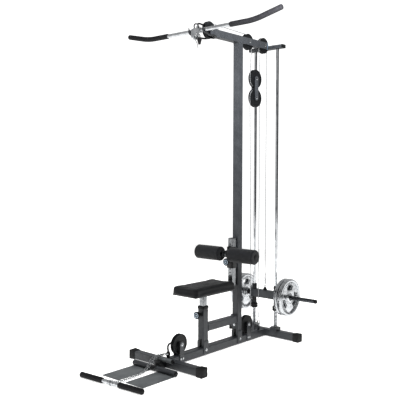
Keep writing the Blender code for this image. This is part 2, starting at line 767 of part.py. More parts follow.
# ---------------------------------------------------------------- footplates
def footplates():
    block = box("footplate_bracket", (-0.020, front_face - 0.058, 0.008),
                (0.020, front_face - gap, tube_high + 0.005),
                "black_steel", 0.002)
    join(block, box("pivot_block", (-0.020, pivot_y - 0.016, 0.006), (0.020, front_face - 0.042, 0.036), None,
                    0.002))
    pin_half = plate_outer_x + 0.010
    join(block, cylinder("pivot_rod", "X", (0, pivot_y, pivot_z), pivot_r, 2 * pin_half, sides=16))
    start, end = heel_bar_span
    join(block, cylinder("heel_bar", "X", ((start + end) / 2, *heel_bar), heel_bar_r, end - start,
                         sides=16))
    for side, word in ((-1, "left"), (1, "right")):
        near, far = 0.0205, plate_outer_x + 0.004
        tube_obj = cylinder(f"footplate_{word}", "X", (side * (near + far) / 2, pivot_y, pivot_z),
                            hinge_tube_r, far - near, "sheet")
        xs = sorted((side * plate_inner_x, side * plate_outer_x))
        bottom = pivot_z - hinge_tube_r
        sheet = box(f"footplate_sheet_{word}", (xs[0], footplate_front_y, bottom),
                    (xs[1], pivot_y + 0.002, bottom + footplate_thickness))
        join(tube_obj, sheet)
        cut(tube_obj, cylinder(f"footplate_bore_{word}", "X", (0, pivot_y, pivot_z),
                               pivot_r + gap, 0.6, sides=16))


# ---------------------------------------------------------------- cables and chain
def cables():
    zb, zf = boom_z, front_pulley[1]
    start = arc(middle_pulley_y, zb, small_groove, 0, 88, 12)
    over = arc(front_pulley[0], zf, small_groove, 88, 96, 3)
    swivel_top = lat_bar_z + bar_r + gap + 0.027 + gap
    drop = smooth([(0, *over[-1]), (0, -0.360, boom_top + 0.039), (0, -0.394, boom_top + 0.0355),
                   (0, -0.419, boom_top + 0.024), (0, lat_bar_y, swivel_top + 0.005)], 3)
    drop.append((0, lat_bar_y, swivel_top))
    rod("lat_cable_front", in_plane(start + over) + drop[1:], cable_r, "cable")

    down = (middle_pulley_y + small_groove, zb - cable_gap)
    up = (rear_pulley_y - small_groove, zb - cable_gap)
    under = arc(block_y, block_upper_z, large_groove, 180, 360, 19)
    rod("lat_cable_loop", in_plane([down] + under + [up]), cable_r, "cable")

    over = arc(rear_pulley_y, zb, small_groove, 180, 0, 19)
    rod("lat_cable_rear", in_plane(over + [(carriage_y, lug_top + gap)]), cable_r, "cable")

    under = arc(low_front_y, low_z, large_groove, 170, 270, 12)
    rear = arc(low_rear_y, low_z, large_groove, 270, 360, 12)
    ball_top = tube_high + 0.0015 + 0.042
    lead = [(0, stop_ball_y, ball_top + gap)]
    lead += smooth([(0, stop_ball_y, ball_top + 0.005),
                   (0, stop_ball_y - 0.0055, ball_top + 0.0175),
                   (0, stop_ball_y - 0.003, low_z + 0.006), (0, stop_ball_y + 0.008, low_z + 0.017),
                   (0, stop_ball_y + 0.023, low_z + 0.021), (0, stop_ball_y + 0.0345, low_z + 0.018),
                   (0, *under[0])], 3)
    rod("low_cable_front", [tuple(p) for p in lead] + in_plane(under[1:] + rear), cable_r, "cable")

    rise = (low_rear_y + large_groove, low_z + cable_gap)
    over = arc(block_y, block_lower_z, large_groove, 180, 0, 19)
    anchor = (block_y + large_groove, tube_high + 0.048 + 0.018 + 0.003 + gap)
    rod("low_cable_loop", in_plane([rise] + over + [anchor]), cable_r, "cable")


def row_chain():
    """Stop ball, snap hook and chain, as one plain solid along the chain's route."""
    bottom = tube_high + 0.0015
    ball = turned("row_chain", "Z", (0, stop_ball_y, bottom),
                  [(0, 0.042), (0.007, 0.042), (0.0125, 0.034), (stop_ball_r, 0.016),
                   (0.010, 0.003), (0.006, 0), (0, 0)], "zinc", 16)
    route = [(0, stop_ball_y - 0.004, tube_high + 0.029), (0, -0.740, tube_high + 0.032),
             (0, -0.790, tube_high + 0.033), (0, -0.822, tube_high + 0.023), (-0.002, -0.862, 0.046), (-0.006, -0.905, 0.016),
             (-0.006, -0.960, chain_r + 0.001), (0.002, -1.030, chain_r + 0.001),
             (0.004, -1.100, chain_r + 0.001), (0, -1.145, 0.011),
             (0, row_bar_y + bar_r + 0.001, 0.016)]
    points = [tuple(p) for p in smooth(route, 3)]
    join(ball, rod("chain_route", points, chain_r, None, 2))


base_frame()
posts()
boom()
pulleys()
guide_rods()
carriage()
weights()
seat()
thigh_rollers()
lat_bar()
bar_hooks()
row_bar()
footplates()
cables()
row_chain()


def centre_on_floor():
    """Move the machine so that the origin is at the bottom centre of its bounding box."""
    bpy.context.view_layer.update()
    graph = bpy.context.evaluated_depsgraph_get()
    points = []
    for obj in machine.objects:
        if obj.type == "EMPTY":
            continue
        evaluated = obj.evaluated_get(graph)
        mesh = evaluated.to_mesh()
        points += [evaluated.matrix_world @ v.co for v in mesh.vertices]
        evaluated.to_mesh_clear()
    low = [min(p[i] for p in points) for i in range(3)]
    high = [max(p[i] for p in points) for i in range(3)]
    root.location = (-(low[0] + high[0]) / 2, -(low[1] + high[1]) / 2, -low[2])
    print("machine origin at", tuple(round(v, 6) for v in root.location))
    print("size", tuple(round(high[i] - low[i], 4) for i in range(3)))


centre_on_floor()
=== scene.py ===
# Lat pulldown machine: the looks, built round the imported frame.
# Metres, +Z up, the user sits facing the upright on the -Y side.
import math
from functools import partial

import bmesh
import bpy
import numpy as np
from mathutils import Matrix, Vector


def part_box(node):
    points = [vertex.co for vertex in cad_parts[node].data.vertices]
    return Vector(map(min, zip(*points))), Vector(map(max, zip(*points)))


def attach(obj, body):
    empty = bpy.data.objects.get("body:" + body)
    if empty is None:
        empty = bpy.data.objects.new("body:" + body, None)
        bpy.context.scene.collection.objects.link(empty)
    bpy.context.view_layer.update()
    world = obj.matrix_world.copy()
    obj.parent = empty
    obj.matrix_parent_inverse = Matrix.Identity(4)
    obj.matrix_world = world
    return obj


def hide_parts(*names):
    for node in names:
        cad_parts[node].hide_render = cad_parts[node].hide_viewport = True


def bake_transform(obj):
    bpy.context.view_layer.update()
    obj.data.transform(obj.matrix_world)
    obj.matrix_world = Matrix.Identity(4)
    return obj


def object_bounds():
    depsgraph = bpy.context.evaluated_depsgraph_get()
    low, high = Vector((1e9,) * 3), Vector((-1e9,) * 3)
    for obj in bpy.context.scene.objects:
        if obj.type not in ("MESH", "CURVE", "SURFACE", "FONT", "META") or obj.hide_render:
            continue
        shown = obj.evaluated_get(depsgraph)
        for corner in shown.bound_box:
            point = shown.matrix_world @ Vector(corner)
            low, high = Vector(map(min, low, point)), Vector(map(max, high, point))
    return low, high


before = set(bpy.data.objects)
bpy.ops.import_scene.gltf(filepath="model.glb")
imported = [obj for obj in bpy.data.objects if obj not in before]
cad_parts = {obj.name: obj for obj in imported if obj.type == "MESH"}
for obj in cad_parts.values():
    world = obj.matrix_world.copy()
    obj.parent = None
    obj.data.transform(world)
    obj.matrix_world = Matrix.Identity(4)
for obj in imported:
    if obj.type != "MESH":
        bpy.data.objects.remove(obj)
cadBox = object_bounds()
scene = bpy.context.scene

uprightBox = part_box("upright")
uprightY = (uprightBox[0].y + uprightBox[1].y) / 2


def at(x, y, z):  # a place measured from the foot of the upright
    return Vector((x, y + uprightY, z))


def spin(degrees, axis, size=3):
    return Matrix.Rotation(math.radians(degrees), size, axis)


def middleOf(node):
    low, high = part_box(node)
    return (low + high) / 2


# camera, floor and light
view = {
    "place": at(2.761, -3.556, 1.241),
    "azimuth": 41.23,      # degrees to the user's left of straight ahead
    "pitch": -2.62,
    "roll": 0.12,
    "lens": 56.88,
    "floorSize": 10.0,
}
lamps = {
    # name: place, aimed at, size, watts
    "keyLight": (at(1.05, -0.85, 2.15), at(0, 0, 1.95), 0.5, 75),
    "fillLight": (at(-2.2, -3.0, 2.9), at(0, -0.2, 1.6), 1.4, 60),
    "rimLight": (at(-1.6, 2.6, 2.8), at(0, 0, 1.0), 1.4, 60),
}


def newObject(name, data):
    obj = bpy.data.objects.new(name, data)
    scene.collection.objects.link(obj)
    return obj


def makeCamera():
    data = bpy.data.cameras.new("camera")
    data.lens = view["lens"]
    data.sensor_width = 36.0
    data.clip_end = 200.0
    camera = newObject("camera", data)
    turn, tilt = math.radians(view["azimuth"]), math.radians(view["pitch"])
    ahead = Vector((-math.sin(turn) * math.cos(tilt), math.cos(turn) * math.cos(tilt),
        math.sin(tilt)))
    look = ahead.to_track_quat("-Z", "Y").to_matrix().to_4x4()
    roll = spin(view["roll"], "Z", 4)
    camera.matrix_world = Matrix.Translation(view["place"]) @ look @ roll
    scene.camera = camera


def makeLamps():
    for name, (place, target, size, watts) in lamps.items():
        data = bpy.data.lights.new(name, "AREA")
        data.shape = "DISK"
        data.size = size
        data.energy = watts
        lamp = newObject(name, data)
        lamp.visible_glossy = False  # the plating mirrors the room, not the lamps
        aim = (target - place).to_track_quat("-Z", "Y").to_matrix().to_4x4()
        lamp.matrix_world = Matrix.Translation(place) @ aim


# node helper and colours
def hexColor(code):
    values = []
    for i in (1, 3, 5):
        c = int(code[i:i + 2], 16) / 255
        values.append(c / 12.92 if c <= 0.04045 else ((c + 0.055) / 1.055) ** 2.4)
    return (*values, 1.0)


def addNode(tree, kind, inputs=None, **settings):
    node = tree.nodes.new(kind)
    for key, value in settings.items():
        setattr(node, key, value)
    for key, value in (inputs or {}).items():
        if isinstance(value, bpy.types.Node):
            value = value.outputs[0]
        if isinstance(value, bpy.types.NodeSocket):
            tree.links.new(value, node.inputs[key])
        else:
            node.inputs[key].default_value = value
    return node


studio = {"dark": 0.02, "side": 0.50, "above": 0.40, "backdrop": 1.0}


def makeWorld():
    world = bpy.data.worlds.new("studio")
    scene.world = world
    scene.view_settings.view_transform = "Standard"
    scene.view_settings.look = "Medium High Contrast"
    world.use_nodes = True
    tree = world.node_tree
    tree.nodes.clear()
    add = partial(addNode, tree)
    coords = add("ShaderNodeTexCoord").outputs["Generated"]
    # the room is dark to the right, so that chrome has a dark half as well as a bright one
    dot = add("ShaderNodeVectorMath", {0: coords, 1: (0.99, -0.10, 0.0)}, operation="DOT_PRODUCT")
    room = add("ShaderNodeMapRange", {"Value": dot.outputs["Value"], "From Min": 0.45,
        "From Max": 0.93, "To Min": studio["side"], "To Max": studio["dark"]})
    split = add("ShaderNodeSeparateXYZ", {0: coords})
    lift = add("ShaderNodeMapRange", {"Value": split.outputs["Z"], "From Min": 0.45,
        "From Max": 0.85})
    mixed = add("ShaderNodeMix", {"Factor": lift, "A": room, "B": studio["above"]},
        data_type="FLOAT")
    lit = add("ShaderNodeBackground", {"Color": hexColor("#ffffff"), "Strength": mixed})
    seen = add("ShaderNodeBackground", {"Color": hexColor("#ffffff"),
        "Strength": studio["backdrop"]})
    rays = add("ShaderNodeLightPath")
    both = add("ShaderNodeMixShader", {0: rays.outputs["Is Camera Ray"], 1: lit, 2: seen})
    add("ShaderNodeOutputWorld", {"Surface": both})


# materials
def startSurface(name, color, roughness, metallic=0.0, **sockets):
    made = bpy.data.materials.new(name)
    made.use_nodes = True
    tree = made.node_tree
    shader = tree.nodes["Principled BSDF"]
    shader.inputs["Base Color"].default_value = hexColor(color)
    shader.inputs["Roughness"].default_value = roughness
    shader.inputs["Metallic"].default_value = metallic
    for key, value in sockets.items():
        shader.inputs[key.replace("_", " ")].default_value = value
    coords = addNode(tree, "ShaderNodeTexCoord")
    return tree, shader, coords.outputs["Object"]


def paintOf(name):
    return bpy.data.materials[name]


def mixColors(tree, shader, share, dark, light):
    # a colour mix has its own sockets: 6 and 7 going in, 2 coming out
    mix = addNode(tree, "ShaderNodeMix", {"Factor": share, 6: hexColor(dark), 7: hexColor(light)},
        data_type="RGBA")
    tree.links.new(mix.outputs[2], shader.inputs["Base Color"])


def mottle(tree, shader, coords, dark, light, size, detail=3.0, low=0.35, high=0.65):
    noise = addNode(tree, "ShaderNodeTexNoise",
        {"Vector": coords, "Scale": 1 / size, "Detail": detail, "Roughness": 0.6})
    share = addNode(tree, "ShaderNodeMapRange", {"Value": noise, "From Min": low, "From Max": high})
    mixColors(tree, shader, share, dark, light)
    return share


def varyRoughness(tree, shader, factor, low, high):
    spread = addNode(tree, "ShaderNodeMapRange", {"Value": factor, "To Min": low, "To Max": high})
    tree.links.new(spread.outputs[0], shader.inputs["Roughness"])


def addBump(tree, shader, height, strength, distance):
    bump = addNode(tree, "ShaderNodeBump", {"Height": height, "Strength": strength,
        "Distance": distance})
    tree.links.new(bump.outputs[0], shader.inputs["Normal"])


def grain(tree, coords, size, detail=2.0):
    return addNode(tree, "ShaderNodeTexNoise",
        {"Vector": coords, "Scale": 1 / size, "Detail": detail, "Roughness": 0.7})


def powderCoat(name, dark, light, roughness, grit=0.0022, strength=0.35):
    # baked polyester powder on steel: a fine orange-peel skin, drawn coarser so that it shows
    tree, shader, coords = startSurface(name, dark, roughness, 0.0, Specular_IOR_Level=0.5)
    share = mottle(tree, shader, coords, dark, light, 0.060)
    varyRoughness(tree, shader, share, roughness - 0.05, roughness + 0.07)
    addBump(tree, shader, grain(tree, coords, grit), strength, 0.0004)
    return tree


def plating(name, dark, light, roughness, smear=0.035, strength=0.02):
    # electroplated steel: the metal's own mirror with faint polishing smears
    tree, shader, coords = startSurface(name, light, roughness, 1.0)
    share = mottle(tree, shader, coords, dark, light, smear)
    varyRoughness(tree, shader, share, roughness * 0.7, roughness * 1.5)
    addBump(tree, shader, grain(tree, coords, 0.004), strength, 0.0002)


def mouldedSkin(name, dark, light, roughness, grit, strength, size=0.030, **sockets):
    # moulded black plastic or rubber: spark-eroded grain from the tool and a little bloom
    tree, shader, coords = startSurface(name, dark, roughness, 0.0, **sockets)
    share = mottle(tree, shader, coords, dark, light, size)
    varyRoughness(tree, shader, share, roughness - 0.06, roughness + 0.08)
    addBump(tree, shader, grain(tree, coords, grit), strength, 0.0005)


def upholsteryVinyl(name):
    # embossed PVC cloth: leather-like cells 2 to 3 mm across with soft creases between them
    tree, shader, coords = startSurface(name, "#101113", 0.42, 0.0, Specular_IOR_Level=0.40)
    share = mottle(tree, shader, coords, "#0e0f10", "#17181a", 0.055)
    varyRoughness(tree, shader, share, 0.38, 0.52)
    cells = addNode(tree, "ShaderNodeTexVoronoi", {"Vector": coords, "Scale": 1 / 0.0028},
        feature="DISTANCE_TO_EDGE")
    crease = addNode(tree, "ShaderNodeMapRange",
        {"Value": cells.outputs["Distance"], "From Max": 0.12})
    addBump(tree, shader, crease, 0.28, 0.0004)


def foamSkin(name):
    # closed-cell rubber foam: matt, with fine open pores
    tree, shader, coords = startSurface(name, "#121315", 0.86, 0.0, Sheen_Weight=0.12,
        Sheen_Roughness=0.5)
    share = mottle(tree, shader, coords, "#0f1012", "#1b1c1f", 0.018)
    pores = addNode(tree, "ShaderNodeTexVoronoi", {"Vector": coords, "Scale": 1 / 0.0032})
    addBump(tree, shader, pores.outputs["Distance"], 0.45, 0.0007)
    varyRoughness(tree, shader, share, 0.80, 0.92)


def wireRope(name, dark, light, twist=0.006):
    # 7 x 7 steel rope seen through a clear nylon sheath: slanting strands under a soft gloss
    tree, shader, coords = startSurface(name, light, 0.34, 0.45, Coat_Weight=0.5,
        Coat_Roughness=0.15)
    wave = addNode(tree, "ShaderNodeTexWave",
        {"Vector": coords, "Scale": 0.32 / twist, "Distortion": 0.4}, bands_direction="DIAGONAL")
    mixColors(tree, shader, wave.outputs["Fac"], dark, light)
    addBump(tree, shader, wave.outputs["Fac"], 0.2, 0.0003)


def backdropPaint(name):
    # matt white studio board, lit a little from below as a product table is
    tree, shader, coords = startSurface(name, "#f4f4f3", 0.75, Specular_IOR_Level=0.2,
        Emission_Color=hexColor("#ffffff"), Emission_Strength=0.44)
    mottle(tree, shader, coords, "#f1f1f0", "#f7f7f6", 0.8)


def makeMaterials():
    powderCoat("anthracitePowderCoat", "#2e3033", "#37393c", 0.42)
    powderCoat("blackPowderCoat", "#151617", "#1c1d1f", 0.38)
    powderCoat("wrinklePowderCoat", "#505355", "#5f6263", 0.60, grit=0.0045, strength=0.8)
    plating("brightChrome", "#c3c5c8", "#dcdee0", 0.07)
    plating("satinChrome", "#8e9092", "#a9abad", 0.20, smear=0.014, strength=0.06)
    plating("castChrome", "#b4b6b9", "#cfd1d3", 0.22, smear=0.022, strength=0.10)
    plating("brightZinc", "#a9acae", "#c8cacc", 0.26, smear=0.012, strength=0.05)
    plating("phosphatedSteel", "#4a4c4f", "#66686b", 0.34, smear=0.010, strength=0.08)
    mouldedSkin("mouldedNylon", "#0d0e0f", "#151618", 0.42, 0.0016, 0.15, Specular_IOR_Level=0.3)
    mouldedSkin("mouldedRubber", "#0e0e0f", "#171718", 0.72, 0.0020, 0.30)
    mouldedSkin("foamedGripRubber", "#121214", "#1b1b1d", 0.78, 0.0026, 0.45, size=0.020)
    mouldedSkin("blueGreyCap", "#4a5a68", "#627382", 0.45, 0.0016, 0.15)
    upholsteryVinyl("upholsteryVinyl")
    foamSkin("closedCellFoam")
    wireRope("nylonCoatedRope", "#66686a", "#a3a4a5")
    wireRope("blackCoatedRope", "#131415", "#232426")
    mouldedSkin("paleBlueInlay", "#9aabba", "#c3cfda", 0.40, 0.0016, 0.10)
    backdropPaint("backdropPaint")


# shapes: each is (points, faces), and piece() joins them into one object
def shapeOf(bm):
    bm.verts.index_update()
    shape = ([v.co.copy() for v in bm.verts], [[v.index for v in f.verts] for f in bm.faces])
    bm.free()
    return shape


def cube(one, other):
    # a box between two opposite corners, given in any order
    low, high = (Vector([pick(a, b) for a, b in zip(one, other)]) for pick in (min, max))
    bm = bmesh.new()
    bmesh.ops.create_cube(bm, size=1.0)
    bmesh.ops.scale(bm, vec=high - low, verts=bm.verts)
    bmesh.ops.translate(bm, vec=(low + high) / 2, verts=bm.verts)
    return bm


def meshFrom(name, bm):
    mesh = bpy.data.meshes.new(name)
    bm.to_mesh(mesh)
    bm.free()
    return mesh


def circle(y, z, radius, start, end, count):
    # points on an arc, in radians; as a profile, y is the radius and z the place along the axis
    return [(y + radius * math.cos(a), z + radius * math.sin(a))
        for a in np.linspace(start, end, count)]


def wholeCircle(y, z, radius, count):
    return circle(y, z, radius, 0, 2 * math.pi, count + 1)[:-1]


def bothWays(profile):
    return profile + [(radius, -along) for radius, along in profile[::-1]]


def roundBox(low, high, edge=0.002, segments=3):
    bm = cube(low, high)
    bmesh.ops.bevel(bm, geom=bm.edges[:], offset=edge, segments=segments, profile=0.5,
        affect="EDGES", clamp_overlap=True)
    return shapeOf(bm)


turnTo = {"X": Matrix.Rotation(math.pi / 2, 3, "Y"), "Y": Matrix.Rotation(-math.pi / 2, 3, "X"),
    "Z": Matrix.Identity(3)}


def lathe(profile, middle, axis="Z", steps=64, ring=False):
    # profile: (radius, place along the axis); a ring's profile closes on itself
    turn, middle = turnTo[axis], Vector(middle)
    points, faces, rows = [], [], []
    for radius, along in profile:
        if radius < 1e-6:
            rows.append([len(points)] * steps)
            points.append(middle + turn @ Vector((0, 0, along)))
            continue
        rows.append(list(range(len(points), len(points) + steps)))
        for i in range(steps):
            a = 2 * math.pi * i / steps
            points.append(middle + turn @ Vector((radius * math.cos(a), radius * math.sin(a),
                along)))
    pairs = list(zip(rows, rows[1:])) + ([(rows[-1], rows[0])] if ring else [])
    for near, far in pairs:
        for i in range(steps):
            j = (i + 1) % steps
            corners = [near[i], near[j], far[j], far[i]]
            face = [c for n, c in enumerate(corners) if c not in corners[:n]]
            if len(face) > 2:
                faces.append(face)
    return points, faces


def roundedRod(radius, length, middle, axis, steps=32, edge=0.001):
    h = length / 2
    e = min(edge, radius * 0.8, h)
    profile = [(0, -h), (radius - e, -h), (radius - 0.3 * e, -h + 0.3 * e), (radius, -h + e),
        (radius, h - e), (radius - 0.3 * e, h - 0.3 * e), (radius - e, h), (0, h)]
    return lathe(profile, middle, axis, steps)


def sweep(route, radius, sides=16, closed=False):
    # a round section carried along a route without twisting; radius may be one for each point
    route = [Vector(p) for p in route]
    count = len(route)
    radii = [radius] * count if isinstance(radius, (int, float)) else list(radius)
    ahead = []
    for i in range(count):
        before = route[i - 1] if i or closed else route[0]
        after = route[(i + 1) % count] if i < count - 1 or closed else route[-1]
        ahead.append((after - before).normalized())
    side = ahead[0].orthogonal().normalized()
    sidesOf = []
    for i in range(count):
        side = (side - ahead[i] * side.dot(ahead[i])).normalized()
        sidesOf.append(side.copy())
    points, faces = [], []
    for p, t, s, r in zip(route, ahead, sidesOf, radii):
        other = t.cross(s)
        for k in range(sides):
            a = 2 * math.pi * k / sides
            points.append(p + (s * math.cos(a) + other * math.sin(a)) * r)
    for i in range(count if closed else count - 1):
        j = (i + 1) % count
        for k in range(sides):
            m = (k + 1) % sides
            faces.append([i * sides + k, i * sides + m, j * sides + m, j * sides + k])
    if not closed:
        faces.append(list(range(sides))[::-1])
        faces.append([(count - 1) * sides + k for k in range(sides)])
    return points, faces


def smoothRoute(points, steps):
    given = [Vector(p) for p in points]
    ends = [given[0] * 2 - given[1]] + given + [given[-1] * 2 - given[-2]]
    out = []
    for a, b, c, d in zip(ends, ends[1:], ends[2:], ends[3:]):
        for i in range(steps):
            t = i / steps
            out.append(0.5 * (2 * b + (c - a) * t + (2 * a - 5 * b + 4 * c - d) * t**2 +
                (3 * b - a - 3 * c + d) * t**3))
    return out + [given[-1]]


def arcRoute(y, z, radius, start, end, count, x=0.0):
    # a circle in the machine's middle plane, from +Y towards +Z, in degrees
    angles = np.radians(np.linspace(start, end, count))
    return [at(x, y + radius * math.cos(a), z + radius * math.sin(a)) for a in angles]


def polyCurve(dimensions, runs, closed):
    data = bpy.data.curves.new("curve", "CURVE")
    data.dimensions = dimensions
    for run in runs:
        spline = data.splines.new("POLY")
        spline.points.add(len(run) - 1)
        for target, point in zip(spline.points, run):
            target.co = (*point, 1.0)
        spline.use_cyclic_u = closed
    return data


def pierced(outlines, axisX, thickness, edge):
    # a flat sheet across X with openings: outlines are rings of (y, z), the outer one first
    flat = [[(y, z, 0.0) for y, z in ring] for ring in outlines]
    data = polyCurve("2D", flat, True)
    data.fill_mode = "BOTH"
    data.extrude = thickness / 2 - edge
    data.bevel_depth = edge
    data.bevel_resolution = 2
    data.offset = -edge
    obj = newObject("outline", data)
    bpy.context.view_layer.update()
    mesh = bpy.data.meshes.new_from_object(obj.evaluated_get(bpy.context.evaluated_depsgraph_get()))
    bm = bmesh.new()
    bm.from_mesh(mesh)
    bmesh.ops.remove_doubles(bm, verts=bm.verts, dist=0.00002)
    for v in bm.verts:
        y, z, x = v.co
        v.co = (x + axisX, y, z)
    bpy.data.objects.remove(obj)
    bpy.data.meshes.remove(mesh)
    return shapeOf(bm)


def nodeShape(node, flatten=True):
    # a CAD node's own shape, welded and with its flat faces whole again
    bm = bmesh.new()
    bm.from_mesh(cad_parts[node].data)
    bmesh.ops.remove_doubles(bm, verts=bm.verts, dist=0.00002)
    if flatten:
        bmesh.ops.dissolve_limit(bm, angle_limit=math.radians(0.5), verts=bm.verts, edges=bm.edges)
    return shapeOf(bm)


def mirrored(shape):
    points, faces = shape
    return [Vector((-p.x, p.y, p.z)) for p in points], [f[::-1] for f in faces]


def fillMesh(name, shapes):
    bm = bmesh.new()
    names = []
    for (points, faces), finish in shapes:
        if finish not in names:
            names.append(finish)
        corners = [bm.verts.new(p) for p in points]
        made = []
        for face in faces:
            made.append(bm.faces.new([corners[i] for i in face]))
            made[-1].material_index = names.index(finish)
        bmesh.ops.recalc_face_normals(bm, faces=made)
    mesh = meshFrom(name, bm)
    for finish in names:
        mesh.materials.append(paintOf(finish))
    return mesh


def put(shapes, finish, *made):
    shapes += [(shape, finish) for shape in made]


def piece(name, body, shapes, replaces=(), angle=38, weighted=False):
    mesh = fillMesh(name, shapes)
    mesh.shade_smooth()
    mesh.set_sharp_from_angle(angle=math.radians(angle))
    obj = newObject(name, mesh)
    if weighted:  # keeps wide flat faces flat beside their rounded edges
        obj.modifiers.new("normals", "WEIGHTED_NORMAL").keep_sharp = True
    if body:
        settle(obj, body, replaces)
    return obj


def settle(obj, body, replaces=()):
    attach(obj, body)
    if replaces:
        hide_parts(*replaces)
    return obj


# geometry node trees for what repeats
def newTree(name, sockets):
    tree = bpy.data.node_groups.new(name, "GeometryNodeTree")
    tree.interface.new_socket("Geometry", in_out="INPUT", socket_type="NodeSocketGeometry")
    for label, kind in sockets.items():
        tree.interface.new_socket(label, in_out="INPUT", socket_type="NodeSocket" + kind)
    tree.interface.new_socket("Geometry", in_out="OUTPUT", socket_type="NodeSocketGeometry")
    return tree, tree.nodes.new("NodeGroupInput").outputs, partial(addNode, tree)


def endTree(tree, geometry, material, smoothing=True):
    real = addNode(tree, "GeometryNodeRealizeInstances", {0: geometry})
    last = real
    if smoothing:
        last = addNode(tree, "GeometryNodeSetShadeSmooth", {0: last})
    paint = addNode(tree, "GeometryNodeSetMaterial", {0: last, "Material": material})
    addNode(tree, "NodeGroupOutput", {0: paint})
    return tree


def coilTree():
    tree, given, add = newTree("coil", {"Turns": "Float", "Radius": "Float", "Height": "Float",
        "Wire": "Float", "Finish": "Material"})
    spiral = add("GeometryNodeCurveSpiral",
        {"Resolution": 28, "Rotations": given["Turns"], "Start Radius": given["Radius"],
        "End Radius": given["Radius"], "Height": given["Height"]})
    section = add("GeometryNodeCurvePrimitiveCircle", {"Resolution": 10, "Radius": given["Wire"]})
    wire = add("GeometryNodeCurveToMesh", {"Curve": spiral, "Profile Curve": section,
        "Fill Caps": True})
    return endTree(tree, wire, given["Finish"])


def chainTree():
    tree, given, add = newTree("chain", {"Pitch": "Float", "Link Radius": "Float",
        "Stretch": "Vector", "Wire": "Float", "Finish": "Material"})
    even = add("GeometryNodeResampleCurve", {"Curve": given["Geometry"], "Length": given["Pitch"]},
        mode="LENGTH")
    loop = add("GeometryNodeCurvePrimitiveCircle",
        {"Resolution": 14, "Radius": given["Link Radius"]})
    oval = add("GeometryNodeTransform", {"Geometry": loop, "Scale": given["Stretch"]})
    section = add("GeometryNodeCurvePrimitiveCircle", {"Resolution": 7, "Radius": given["Wire"]})
    link = add("GeometryNodeCurveToMesh", {"Curve": oval, "Profile Curve": section})
    along = add("FunctionNodeAlignRotationToVector", {"Vector": add("GeometryNodeInputTangent")},
        axis="X")
    odd = add("ShaderNodeMath", {0: add("GeometryNodeInputIndex"), 1: 2.0}, operation="MODULO")
    quarter = add("ShaderNodeMath", {0: odd, 1: math.pi / 2}, operation="MULTIPLY")
    euler = add("ShaderNodeCombineXYZ", {"X": quarter})
    turn = add("FunctionNodeEulerToRotation", {0: euler})
    each = add("FunctionNodeRotateRotation", {"Rotation": along, "Rotate By": turn},
        rotation_space="LOCAL")
    links = add("GeometryNodeInstanceOnPoints",
        {"Points": even, "Instance": link, "Rotation": each})
    return endTree(tree, links, given["Finish"])


def boltTree():
    tree, given, add = newTree("bolts", {"Head Radius": "Float", "Head Height": "Float",
        "Washer Radius": "Float", "Washer Height": "Float", "Turn": "Rotation",
        "Finish": "Material"})
    head = add("GeometryNodeMeshCylinder", {"Vertices": 6, "Radius": given["Head Radius"],
        "Depth": given["Head Height"]})
    washer = add("GeometryNodeMeshCylinder",
        {"Vertices": 28, "Radius": given["Washer Radius"], "Depth": given["Washer Height"]})
    bolt = tree.nodes.new("GeometryNodeJoinGeometry")
    tree.links.new(head.outputs["Mesh"], bolt.inputs[0])
    tree.links.new(washer.outputs["Mesh"], bolt.inputs[0])
    spots = add("GeometryNodeInstanceOnPoints",
        {"Points": given["Geometry"], "Instance": bolt, "Rotation": given["Turn"]})
    return endTree(tree, spots, given["Finish"], smoothing=False)


def beadTree():
    tree, given, add = newTree("weldBead", {"Spacing": "Float", "Size": "Float",
        "Finish": "Material"})
    even = add("GeometryNodeResampleCurve",
        {"Curve": given["Geometry"], "Length": given["Spacing"]}, mode="LENGTH")
    drop = add("GeometryNodeMeshIcoSphere", {"Radius": given["Size"], "Subdivisions": 2})
    seed = add("FunctionNodeRandomValue", {2: 0.85, 3: 1.15, "Seed": 7}, data_type="FLOAT")
    beads = add("GeometryNodeInstanceOnPoints",
        {"Points": even, "Instance": drop.outputs["Mesh"], "Scale": seed.outputs[1]})
    return endTree(tree, beads, given["Finish"])


def perforationTree():
    # a row of through holes, cut along Y in the mesh that it is given
    tree, given, add = newTree("perforations",
        {"Count": "Int", "First": "Vector", "Step": "Vector", "Hole Radius": "Float",
        "Finish": "Material"})
    row = add("GeometryNodeMeshLine", {"Count": given["Count"], "Start Location": given["First"],
        "Offset": given["Step"]}, mode="OFFSET")
    drill = add("GeometryNodeMeshCylinder",
        {"Vertices": 20, "Radius": given["Hole Radius"], "Depth": 0.12})
    drills = add("GeometryNodeInstanceOnPoints",
        {"Points": row, "Instance": drill.outputs["Mesh"], "Rotation": (math.pi / 2, 0, 0)})
    real = add("GeometryNodeRealizeInstances", {0: drills})
    holes = add("GeometryNodeMeshBoolean", {"Mesh 1": given["Geometry"], "Mesh 2": real},
        operation="DIFFERENCE", solver="EXACT")
    return endTree(tree, holes, given["Finish"], smoothing=False)


def grow(tree, base, name, **values):
    # runs a tree on an object and keeps what it makes as a plain mesh object
    modifier = base.modifiers.new("grow", "NODES")
    modifier.node_group = tree
    for item in tree.interface.items_tree:
        key = item.name.replace(" ", "")
        if item.in_out == "INPUT" and key in values:
            modifier[item.identifier] = values[key]
    bpy.context.view_layer.update()
    graph = bpy.context.evaluated_depsgraph_get()
    mesh = bpy.data.meshes.new_from_object(base.evaluated_get(graph))
    obj = newObject(name, mesh)
    bpy.data.objects.remove(base)
    return obj


def pointsObject(points):
    mesh = bpy.data.meshes.new("spots")
    mesh.from_pydata([tuple(p) for p in points], [], [])
    obj = newObject("spots", mesh)
    return obj


def routeObject(points):
    return newObject("route", polyCurve("3D", [points], False))


